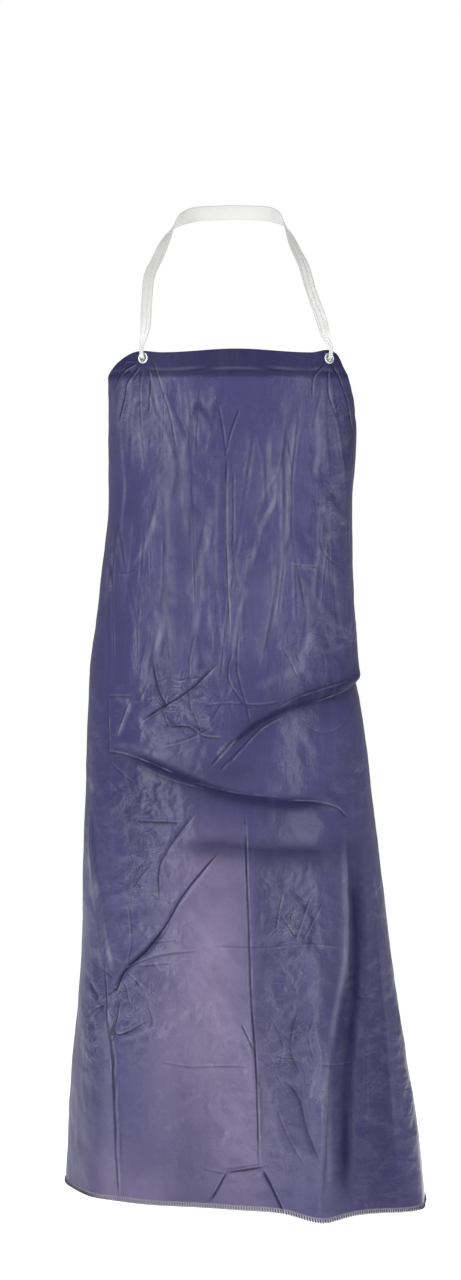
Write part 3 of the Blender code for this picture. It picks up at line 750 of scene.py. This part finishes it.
def add_camera():
    data = bpy.data.cameras.new("camera")
    data.sensor_fit = "VERTICAL"
    data.sensor_height = 36.0
    data.lens = data.sensor_height * CAMERA_DISTANCE / VIEW_HEIGHT
    data.clip_end = 60
    camera = add_object("camera", data)
    camera.location = (CAMERA_ACROSS, MIDDLE_DEPTH - CAMERA_DISTANCE, CAMERA_HEIGHT)
    camera.rotation_euler = (math.radians(90), 0, 0)
    bpy.context.scene.camera = camera


# ---------------- neck tape
TAPE_WIDTH = 20 * MM
TAPE_THICK = 1.1 * MM
TAPE_ROPE = 5.0 * MM  # the gathered ends' width
TAPE_GATHER = 50 * MM
TAPE_STATIONS = 240
TAPE_ACROSS = 15
# Places along the tape from left to right, and the way its face looks at each
TAPE_ROUTE = (
    (-0.1215, -0.1745, -0.187, 0.0, -1.0, 0.1), (-0.1182, -0.1600, -0.140, 0.0, -1.0, 0.3),
    (-0.1148, -0.1340, -0.102, -0.1, -0.9, 0.5), (-0.1050, -0.1100, -0.077, -0.3, -0.7, 0.7),
    (-0.0957, -0.0880, -0.052, -0.5, -0.5, 0.7), (-0.0880, -0.0620, -0.032, -0.8, -0.2, 0.6),
    (-0.0760, -0.0340, -0.015, -0.9, 0.3, 0.3), (-0.0540, -0.0120, -0.004, -0.6, 0.8, 0.1),
    (-0.0270, -0.0020, -0.001, -0.2, 1.0, 0.0), (0.0000, 0.0000, 0.000, 0.0, 1.0, 0.0),
    (0.0230, -0.0030, -0.001, 0.3, 1.0, 0.0), (0.0440, -0.0140, -0.004, 0.7, 0.7, 0.1),
    (0.0610, -0.0360, -0.014, 0.9, 0.2, 0.3), (0.0700, -0.0630, -0.032, 0.8, -0.2, 0.6),
    (0.0790, -0.0920, -0.060, 0.5, -0.5, 0.7), (0.0905, -0.1200, -0.089, 0.3, -0.8, 0.6),
    (0.0997, -0.1460, -0.125, 0.1, -0.95, 0.4), (0.1130, -0.1660, -0.166, 0.0, -1.0, 0.2),
    (0.1195, -0.1745, -0.190, 0.0, -1.0, 0.1),
)
TAPE_ENDS = ((-0.6, -0.3), (3.0, 0.8), (5.0, 6.0), (5.6, 14.0))  # out of an eyelet and up, in millimetres


def eyelet_frame(name):
    """A matrix on the film under an eyelet: Z outwards, Y up along the film."""
    across, height = EYELETS[name]
    over, up = (Vector(v) for v in film_sides(across, height))
    z = over.cross(up).normalized()
    x = up.cross(z).normalized()
    place = Vector(smooth_film(across, height))
    return Matrix.Translation(place) @ Matrix((x, z.cross(x), z)).transposed().to_4x4()


def tape_line():
    """Places along the tape, the way its face looks there and their distances from its left end."""
    ends = []
    for name in ("left_neck_eyelet", "right_neck_eyelet"):
        matrix = eyelet_frame(name)
        out, up = matrix.to_3x3() @ Vector((0, 0, 1)), Vector((0, 0, 1))
        ends.append([(*(matrix.translation + out * a * MM + up * b * MM), *out) for a, b in TAPE_ENDS])
    knots = np.array(ends[0] + list(TAPE_ROUTE) + ends[1][::-1])
    knots[:, 3:] = unit(knots[:, 3:])
    marks = marks_along(knots[:, :3])
    even = np.linspace(0, 1, TAPE_STATIONS)
    at = marks[-1] * (even - 0.11 * np.sin(2 * math.pi * even) / 2)
    line = np.stack([smooth_through(marks, knots[:, k], at) for k in range(6)], axis=1)
    return line[:, :3], line[:, 3:], at


def band(path, side, out, half, thick, count, wave):
    """Points and faces of a tape along a path. Wave gives its lift at a share of its half-width, -1 to 1."""
    lines = []
    for layer in (1, -1):
        for q in np.linspace(-1, 1, count)[::layer]:
            lift = wave(q) + layer * thick / 2 * math.sqrt(max(0.0, 1 - abs(q) ** 6))
            lines.append(path + side * (half * q)[:, None] + out * lift[:, None])
    return np.stack(lines, axis=1).reshape(-1, 3), tube_faces(len(path), 2 * count)


def neck_tape():
    path, look, at = tape_line()
    ahead = unit(np.gradient(path, axis=0))
    side = unit(np.cross(ahead, look))
    from_end = np.minimum(at, at[-1] - at)
    spread = 0.62 * ramp(from_end, 5 * MM, 5 * MM + TAPE_GATHER) + 0.38 * ramp(from_end, 0.08, 0.24)
    half = (TAPE_ROPE + (TAPE_WIDTH - TAPE_ROPE) * spread) / 2
    pleat = (0.8 * MM + 0.4 * MM * ramp(from_end, 4 * MM, 12 * MM)) * (1 - spread)
    pleat += 1.2 * MM * spread * (1 - ramp(from_end, 0.05, 0.22))

    def wave(q):
        return pleat * np.cos(2.5 * math.pi * q + 0.8 * np.sin(at * 40)) + 0.6 * MM * spread * q * q

    points, faces = band(path, side, np.cross(side, ahead), half, TAPE_THICK, TAPE_ACROSS, wave)
    tape = add_mesh("cotton_neck_tape", points, faces, TAPE)
    shares = np.linspace(-1, 1, TAPE_ACROSS)
    round_it = np.append(shares, shares[::-1]) * TAPE_WIDTH / 2
    add_vectors(tape, "tape_place", np.stack(np.broadcast_arrays(round_it, at[:, None], 0.0), axis=-1))
    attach(tape, "neck_loop")
    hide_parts("neck_tape")


# ---------------- film sheet
FILM_COLUMNS = 264
FILM_ROWS = 352
ROLL_STEPS = 5
BACK_ROWS = 12
HOLE_R = 5.2 * MM
HOLE_SHIFT_R = 9 * MM
HOLE_DROP_R = 3 * MM  # grid points nearer to an eyelet's middle are left out

# The film's own colour comes first. Then painted light (lilac where light comes through the film, slate
# where it is lit), painted shade (violet, deep) and a painted highlight (the pale tone after deep). Deep
# also darkens the doubled top hem.
CHEST = (0.055, 0.048, 0.146)
BACKLIT_LILAC = (0.280, 0.225, 0.340)
LIT_SLATE = (0.076, 0.068, 0.170)
SHADED_VIOLET = (0.052, 0.042, 0.140)
DEEP = (0.014, 0.013, 0.055)
HIGHLIGHT_PALE = (0.190, 0.180, 0.270)
BLACK = (0.0, 0.0, 0.0)
HEM_EDGE = (0.56, 0.52, 0.61)
# Painted light and shade on the film: pools of light coming through it, lit patches and shaded bands.
# Colour, share, then place across, height, width and tallness in millimetres
LIGHT_AND_SHADE_ZONES = (
    (BACKLIT_LILAC, 0.32, -65, 200, 60, 130), (BACKLIT_LILAC, 0.40, 10, 120, 40, 120), (BACKLIT_LILAC, 0.30, -30, 460, 60, 30),
    (BACKLIT_LILAC, 0.50, -205, 40, 45, 60), (BACKLIT_LILAC, 0.25, -110, 30, 90, 40), (LIT_SLATE, 0.60, 210, 420, 30, 150),
    (SHADED_VIOLET, 0.80, 200, 130, 60, 200), (DEEP, 0.55, 146, 200, 28, 220),
)
# Painted shade in hollows, folds and turned-away flaps, and one painted lit patch beside the waist fold:
# colour, share, then place across, height, width and tallness in millimetres
SHADE_AND_LIGHT_SPOTS = (
    (DEEP, 0.35, 80, 135, 11, 35), (DEEP, 0.30, 78, 235, 12, 35), (DEEP, 0.40, 95, 475, 90, 16),
    (DEEP, 0.30, -20, 485, 80, 12), (DEEP, 0.50, -15, 582, 60, 20), (DEEP, 0.62, 176, 1020, 26, 80),
    (DEEP, 0.20, -150, 580, 70, 100), (DEEP, 0.16, -75, 870, 34, 130), (LIT_SLATE, 0.60, 145, 610, 35, 45),
)


def opened(across, height):
    """Moves grid points away from each eyelet's middle, so that a round hole opens there."""
    drop = np.zeros(across.shape, bool)
    for place, level in EYELETS.values():
        dx, dy = across - place, height - level
        away = np.hypot(dx, dy)
        moved = HOLE_R + away * (HOLE_SHIFT_R - HOLE_R) / HOLE_SHIFT_R
        scale = np.where(away < HOLE_SHIFT_R, moved / np.maximum(away, 1e-6), 1.0)
        across, height = place + dx * scale, level + dy * scale
        drop |= away < HOLE_DROP_R
    return across, height, drop


def film_colours(across, height, out, shade, painted_highlight):
    """The film's colour with painted light and shade: deeper where it is doubled, painted shade where it is
    folded in, and painted light where light comes through it or catches its folds and streaks.
    """
    colour = np.broadcast_to(np.array(CHEST), across.shape + (3,)).copy()

    def blend(target, share):
        nonlocal colour
        colour = colour + (np.array(target) - colour) * np.clip(share, 0, 1)[..., None]

    def blend_spots(spots):
        for target, share, *where in spots:
            blend(target, share * spot(across, height, *where))

    # painted light: the lower skirt paler where light comes through it, and a lilac pool of light coming
    # through between the legs
    blend(LIT_SLATE, 0.8 * (1 - ramp(height, 0.40, 0.60)))
    blend(BACKLIT_LILAC, 0.62 * spot(across, height, -30, 330, 46, 150) * (1 - ramp(across, 0.010, 0.018) * 0.45))
    # painted light and shade in zones
    blend_spots(LIGHT_AND_SHADE_ZONES)
    # the cone fold: a painted highlight along its ridge and painted shade in the valley beside it
    cone = ramp(height, 0.02, 0.08) * (1 - ramp(height, 0.40, 0.52))
    ridge = 0.118 + 0.032 * ramp(height, 0.18, 0.38)
    blend(HIGHLIGHT_PALE, 0.60 * cone * bell(across - ridge, 4 * MM))
    valley = ramp(across, ridge + 4 * MM, ridge + 12 * MM) * (1 - ramp(across, ridge + 0.020, ridge + 0.045))
    blend(DEEP, 0.60 * cone * valley)
    # painted shade along the left edge of the lower skirt
    blend(SHADED_VIOLET, 0.55 * ramp(-across, 0.175, 0.205) * (1 - ramp(height, 0.30, 0.50)))
    # painted shade to the right of the skirt's middle crease
    right_of_middle_shade = ramp(across, 0.020, 0.028) * (1 - ramp(across, 0.050, 0.100))
    blend(DEEP, 0.28 * right_of_middle_shade * ramp(height, 0.06, 0.20) * (1 - ramp(height, 0.44, 0.50)))
    # painted shade in hollows, and one painted lit patch
    blend_spots(SHADE_AND_LIGHT_SPOTS)
    # painted shade where the folds push the film in, painted light where they push it out
    blend(DEEP, np.clip(-out / (14 * MM), 0, 0.55))
    blend(LIT_SLATE, np.clip(out / (20 * MM), 0, 0.45))
    # painted highlights along the streaks, with ragged edges
    ragged = np.clip(0.8 + 0.9 * wandering(across / 0.008, height / 0.035, 71), 0, 1.3)
    for width, strength, route in STREAKS:
        here, signed, along = beside(route, across, height, 3 * width)
        streak = np.zeros(across.shape)
        streak[here] = strength * end_fade(along, 0.2) * np.exp(-((signed / width) ** 4))
        blend(HIGHLIGHT_PALE, streak * ragged)
    # painted highlights on the folds' gentle flanks, painted shade in their valleys and under their lips
    blend(HIGHLIGHT_PALE, 0.45 * painted_highlight)
    blend(DEEP, 0.88 * shade)
    # painted shade in the pocket behind the right waist fold
    blend(DEEP, 0.70 * spot(across, height, 222, 708, 30, 16))
    blend(DEEP, 0.72 * ramp(height, FOLD_END - 3 * MM, FOLD_END + 1 * MM))
    # a painted highlight just below the top hem's seam, and a dark line along the seam, partly the seam's
    # own darkness and partly painted shade
    seam = height - (TOP - STITCH_DROP)
    blend(HIGHLIGHT_PALE, 0.30 * bell(seam - 2.4 * MM, 1.2 * MM))
    blend(BLACK, 0.45 * bell(seam, 1.4 * MM))
    blend(HEM_EDGE, 0.95 * (1 - ramp(height - edge_line(HEM_LINE, across), 3.0 * MM, 4.8 * MM)))
    return colour


def film_sheet():
    """The whole sheet as one piece: the hanging film, rolled over at the top edge and turned down behind."""
    spread = np.linspace(-1, 1, FILM_COLUMNS + 1)
    columns = (0.5 + 0.5 * spread * (0.68 + 0.32 * np.abs(spread) ** 1.2))[None, :]
    across, height = grid_place(columns, np.linspace(0, 1, FILM_ROWS + 1)[:, None])
    top_across, top_height = grid_place(columns, np.ones((1, 1)))
    back = np.linspace(0, HEM_FOLD, BACK_ROWS + 1)[:, None]
    across = np.concatenate([across, np.repeat(top_across, ROLL_STEPS + BACK_ROWS + 1, axis=0)])
    height = np.concatenate([height, np.repeat(top_height, ROLL_STEPS, axis=0), top_height - back])
    angle = np.pi * (np.arange(ROLL_STEPS) + 1) / (ROLL_STEPS + 1)
    radius = HEM_FOLD_GAP / 2 + FILM_THICK / 2
    offset, lift = np.zeros(across.shape), np.zeros(across.shape)
    roll = slice(FILM_ROWS + 1, FILM_ROWS + 1 + ROLL_STEPS)
    offset[roll] = -(radius - radius * np.cos(angle))[:, None]
    lift[roll] = (radius * np.sin(angle))[:, None]
    offset[roll.stop:] = -2 * radius
    across, height, dropped = opened(across, height)
    points, _ = film_surface(across, height, offset)
    points[..., 2] += lift
    dropped = dropped.ravel()
    faces = [f for f in grid_faces(*across.shape) if not any(dropped[i] for i in f)]
    film = add_mesh("vinyl_film_sheet", points.reshape(-1, 3), faces, FILM)

    out, _, shade, painted_highlight = folds(across, height)
    chest, crumple = masks(across, height)
    dull = 0.55 * ramp(-across, 0.165, 0.200) * (1 - ramp(height, 0.35, 0.55))
    dull = dull + 0.75 * spot(across, height, -75, 870, 36, 150)
    dull = dull + 0.45 * spot(across, height, 85, 920, 30, 130)
    hem = 0.75 * ramp(height, FOLD_END - 2 * MM, FOLD_END + 2 * MM)
    dull = np.maximum(hem, np.maximum(dull, shade))
    aside, strength = sharp_lines(across, height)
    add_vectors(film, "film_place", np.stack([across, height, offset], axis=-1))
    add_vectors(film, "film_masks", np.stack([chest, crumple, dull], axis=-1))
    add_vectors(film, "line_aside", aside)
    add_vectors(film, "line_strength", strength)
    colour = np.ones(across.shape + (4,), np.float32)
    colour[..., :3] = film_colours(across, height, out, shade, painted_highlight)
    film.data.attributes.new("film_colour", "FLOAT_COLOR", "POINT").data.foreach_set("color", colour.ravel())
    bm = bmesh.new()
    bm.from_mesh(film.data)
    bmesh.ops.delete(bm, geom=[v for v in bm.verts if not v.link_faces], context="VERTS")
    bm.to_mesh(film.data)
    bm.free()
    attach(film, "apron")
    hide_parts("film_panel", "top_hem_fold")
    return film


# ---------------- stitching
STITCH_LENGTH = 3.2 * MM
STITCH_PITCH = 4.2 * MM
STITCH_R = 0.32 * MM
STITCH_POINTS = 7
OVERLOCK_PITCH = 3.4 * MM
OVERLOCK_RISE = 4.4 * MM
OVERLOCK_R = 0.78 * MM
CHAIN_R = 0.28 * MM
# One turn of the looper thread: share of a pitch along the edge, rise above it and distance out of the film
LOOPER_TURN = ((0.16, OVERLOCK_RISE, 0.95 * MM), (0.25, 2.0 * MM, 0.95 * MM), (0.34, 0.4 * MM, 0.90 * MM),
               (0.42, -0.75 * MM, 0.0), (0.58, 0.4 * MM, -0.70 * MM), (0.80, 2.0 * MM, -0.70 * MM),
               (0.98, OVERLOCK_RISE, -0.70 * MM))


def along_row(row, step):
    """Distances across and heights of places this far apart along one row of the film."""
    across, height = grid_place(np.linspace(0, 1, 1200), row)
    marks = marks_along(smooth_film(across, height))
    at = np.arange(step / 2, marks[-1], step)
    return np.interp(at, marks, across), np.interp(at, marks, height)


def top_hem_stitches():
    """A row of lock stitches through both layers of the top hem."""
    across, height = along_row(1 - STITCH_DROP / TOP, STITCH_PITCH)
    profile = np.linspace(-1, 1, STITCH_POINTS)
    rise = 0.25 * MM * (1 - profile**4) - 0.05 * MM
    pieces = []
    for a, h in zip(across[1:-1], height[1:-1]):
        centre, normal = film_surface(a + profile * STITCH_LENGTH / 2, h)
        pieces.append(swept(centre + normal * rise[:, None], normal, STITCH_R))
    stitches = gather("top_hem_stitch_row", pieces, SEAM_THREAD)
    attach(stitches, "apron")
    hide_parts("top_hem_stitching")
    return stitches


def overlock_edge():
    """The looper thread that zigzags over the film's bottom edge, and the chain stitch that holds it."""
    across, height = along_row(0.0, OVERLOCK_PITCH)
    share, rise, off = np.tile(np.transpose(LOOPER_TURN), len(across))
    run = np.repeat(across, len(LOOPER_TURN)) + (share - 0.5) * OVERLOCK_PITCH
    centre, normal = film_surface(run, np.repeat(height, len(LOOPER_TURN)) + np.maximum(rise, 0.0))
    path = centre + normal * off[:, None]
    path[:, 2] += np.minimum(rise, 0)
    edge_centre, edge_normal = film_surface(across, height)
    edge_centre[:, 2] -= 0.75 * MM
    loops = gather("bottom_edge_loops", [swept(path, normal + 0.01, OVERLOCK_R, flat=0.5),
                                         swept(edge_centre, edge_normal, 0.25 * MM)], LOOPER)
    chain_across, chain_height = along_row(0.0, OVERLOCK_PITCH / 6)
    centre, normal = film_surface(chain_across, chain_height + OVERLOCK_RISE)
    step = np.arange(len(chain_across)) * math.pi / 3
    front = centre + normal * (0.75 * MM + 0.22 * MM * np.sin(step))[:, None]
    front[:, 2] += 0.30 * MM * np.cos(step)
    back = centre - normal * (0.60 * MM + 0.10 * MM * np.sin(step))[:, None]
    chain = gather("bottom_edge_chain", [swept(line, normal, CHAIN_R) for line in (front, back)], OVERLOCK)
    for piece in (loops, chain):
        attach(piece, "apron")
        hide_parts("bottom_hem_overlock")
    return [loops, chain]


# ---------------- eyelets, in millimetres
EYELET_TURNS = 64
BORE_R = 4.25
FLANGE_R = 7.5


def turned(name, profile, matrix, material):
    """A ring turned about the matrix's Z from a closed profile of radii and heights in millimetres."""
    points = []
    for radius, height in np.array(profile) * MM:
        for angle in 2 * math.pi * np.arange(EYELET_TURNS) / EYELET_TURNS:
            points.append(matrix @ Vector((radius * math.cos(angle), radius * math.sin(angle), height)))
    faces = [(a, d, e, b) for a, b, e, d in tube_faces(len(profile), EYELET_TURNS, closed=True)]
    return add_mesh(name, points, faces, material)


def rounded(radius, level, wide, tall, angles):
    return [(radius + wide * math.cos(t), level + tall * math.sin(t)) for t in angles]


def eyelet(name):
    """A pressed eyelet with a rolled flange in front and a lip rolled over its washer behind."""
    doubled = "neck" in name
    film = FILM_THICK / MM
    matrix = eyelet_frame(name) @ Matrix.Translation((0, 0, 0 if doubled else -0.25 * MM))
    front = film / 2 + 0.25
    back = -(1.5 * film + 0.6 if doubled else film / 2) - 0.45
    crown = front + 1.75
    lip = back - 0.5
    arc = rounded(5.85, crown - 1.05, 1.6, 1.05, np.linspace(math.pi, 0, 12))
    curl = rounded(4.95, lip - 0.15, 0.62, 0.5, np.linspace(0, -math.pi, 10))
    rim = [(FLANGE_R, front + 0.3), (7.35, front), (4.7, front), (4.7, lip + 0.1)]
    profile = [(BORE_R, crown - 1.2)] + arc + rim + curl + [(BORE_R, lip - 0.1)]
    ring = turned(name + "_flange", profile, matrix, NICKEL)
    washer = turned(name + "_back_washer", [
        (5.0, back - 0.35), (5.0, back), (7.4, back), (FLANGE_R, back - 0.1), (7.3, back - 0.3),
        (6.2, back - 0.42)], matrix, NICKEL)
    for piece, replaced in ((ring, name), (washer, name + "_washer")):
        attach(piece, "apron")
        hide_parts(replaced)


# ---------------- tape knots
KNOT_STATIONS = 120
KNOT_SIDES = 14
KNOT_R = 4.1 * MM
KNOT_DEPTH = 9.3 * MM
TAIL_STATIONS = 26
TAIL_ACROSS = 9


def tape_knot(name, eyelet_name):
    """An overhand knot of the gathered tape behind an eyelet, and the tape's cut end below it."""
    matrix = eyelet_frame(eyelet_name)
    turn = np.linspace(0, 2 * math.pi, KNOT_STATIONS, endpoint=False)
    path = np.stack([(np.sin(turn) + 1.55 * np.sin(2 * turn)) * KNOT_R * 0.62,
                     (np.cos(turn) - 1.55 * np.cos(2 * turn)) * KNOT_R * 0.62,
                     -KNOT_DEPTH - np.sin(3 * turn) * KNOT_R * 0.55], axis=1)
    ahead = unit(np.roll(path, -1, axis=0) - np.roll(path, 1, axis=0))
    side = unit(np.cross(ahead, unit(path + np.array((0, 0, KNOT_DEPTH)))))
    out = np.cross(side, ahead)
    lines = []
    for angle in 2 * math.pi * np.arange(KNOT_SIDES) / KNOT_SIDES:
        ripple = (1 + 0.07 * np.cos(5 * angle + 2 * turn))[:, None]
        lines.append(path + (side * 2.5 * math.cos(angle) + out * 1.9 * math.sin(angle)) * MM * ripple)
    knotted = np.stack(lines, axis=1).reshape(-1, 3), tube_faces(KNOT_STATIONS, KNOT_SIDES, closed=True)

    # the neck of the knot, up to the tape in the bore
    neck = np.array([(0, 0, z) for z in np.linspace(-0.8 * MM, -8 * MM, 8)])
    neck = swept(neck, np.array([(0.0, 1.0, 0.0)] * 8), 1.7 * MM, sides=12)

    # the cut end: a flat tape that hangs and turns a little
    down, level = np.linspace(0, 1, TAIL_STATIONS), np.zeros(TAIL_STATIONS)
    lean = 0.35 * np.sin(2.0 * down)
    middle = (1.6 * np.sin(2.2 * down), -2 - 36 * down, -10.5 - 2.0 * np.sin(2.6 * down))
    middle = np.stack(middle, axis=1) * MM
    side = np.stack([np.cos(lean), level, np.sin(lean)], axis=1)
    out = np.stack([-np.sin(lean), level, np.cos(lean)], axis=1)
    half = 3.5 * MM + 5.5 * MM * ramp(down, 0, 0.5)
    wave = 0.6 * MM * (1 - ramp(down, 0.1, 0.9))
    tail = band(middle, side, out, half, 1.0 * MM, TAIL_ACROSS, lambda q: wave * math.cos(7 * q))

    pieces = [knotted, neck, tail]
    knot = gather(name, [([matrix @ Vector(p) for p in points], faces) for points, faces in pieces], TAPE)
    add_vectors(knot, "tape_place", np.concatenate([points for points, _ in pieces]))
    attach(knot, "apron")
    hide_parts(name.replace("_knot_of_tape", "_tape_knot"))


# ---------------- studio
FLOOR_HEIGHT = -1.60


def area_light(name, place, aim, size, power):
    data = bpy.data.lights.new(name, "AREA")
    data.shape = "RECTANGLE"
    data.size, data.size_y = size
    data.energy = power
    light = add_object(name, data)
    light.location = place
    light.rotation_euler = (Vector(aim) - Vector(place)).to_track_quat("-Z", "Y").to_euler()


def studio():
    made = Nodes(bpy.data.materials.new("pale_floor"))
    made.shade(Base_Color=(0.93, 0.93, 0.93), Roughness=0.9)
    made.shade(Emission_Color=(1, 1, 1), Emission_Strength=0.80)
    corners = [(x, y, FLOOR_HEIGHT) for x, y in ((-9, -9), (9, -9), (9, 9), (-9, 9))]
    floor = add_mesh("studio_floor", corners, [(0, 1, 2, 3)], made.owner)
    area_light("key_light", (-2.0, -3.2, 0.3), (0, -0.1, -0.7), (0.9, 2.6), 52)
    area_light("fill_light", (1.9, -3.4, 0.0), (0, -0.1, -0.8), (0.6, 2.6), 32)
    area_light("top_light", (0.1, -1.9, 2.2), (0, -0.2, -0.6), (2.4, 0.9), 14)
    area_light("back_light", (0.4, 2.6, 0.8), (0, 0, -0.7), (2.4, 1.6), 40)
    world = Nodes(bpy.data.worlds.new("studio"), "Background")
    bpy.context.scene.world = world.owner
    seen = world.add("LightPath", {}, "Is Camera Ray")
    world.shade(Color=(1, 1, 1), Strength=world.scaled(seen, 0.0, 1.0, 0.24, 1.0))
    bpy.context.scene.view_settings.view_transform = "Standard"


# ---------------- making it
FILM = film_material()
TAPE = tape_material()
NICKEL = nickel_material()
SEAM_THREAD = thread_material("seam_thread_dark", (0.045, 0.040, 0.100), (0.020, 0.018, 0.055))
OVERLOCK = thread_material("overlock_thread", (0.58, 0.54, 0.62), (0.34, 0.31, 0.40))
LOOPER = thread_material("looper_thread", (0.036, 0.025, 0.060), (0.020, 0.014, 0.036))

add_camera()
neck_tape()
film = film_sheet()
stitches = top_hem_stitches()
edge = overlock_edge()
for eyelet_name in EYELETS:
    eyelet(eyelet_name)
tape_knot("left_knot_of_tape", "left_neck_eyelet")
tape_knot("right_knot_of_tape", "right_neck_eyelet")
studio()
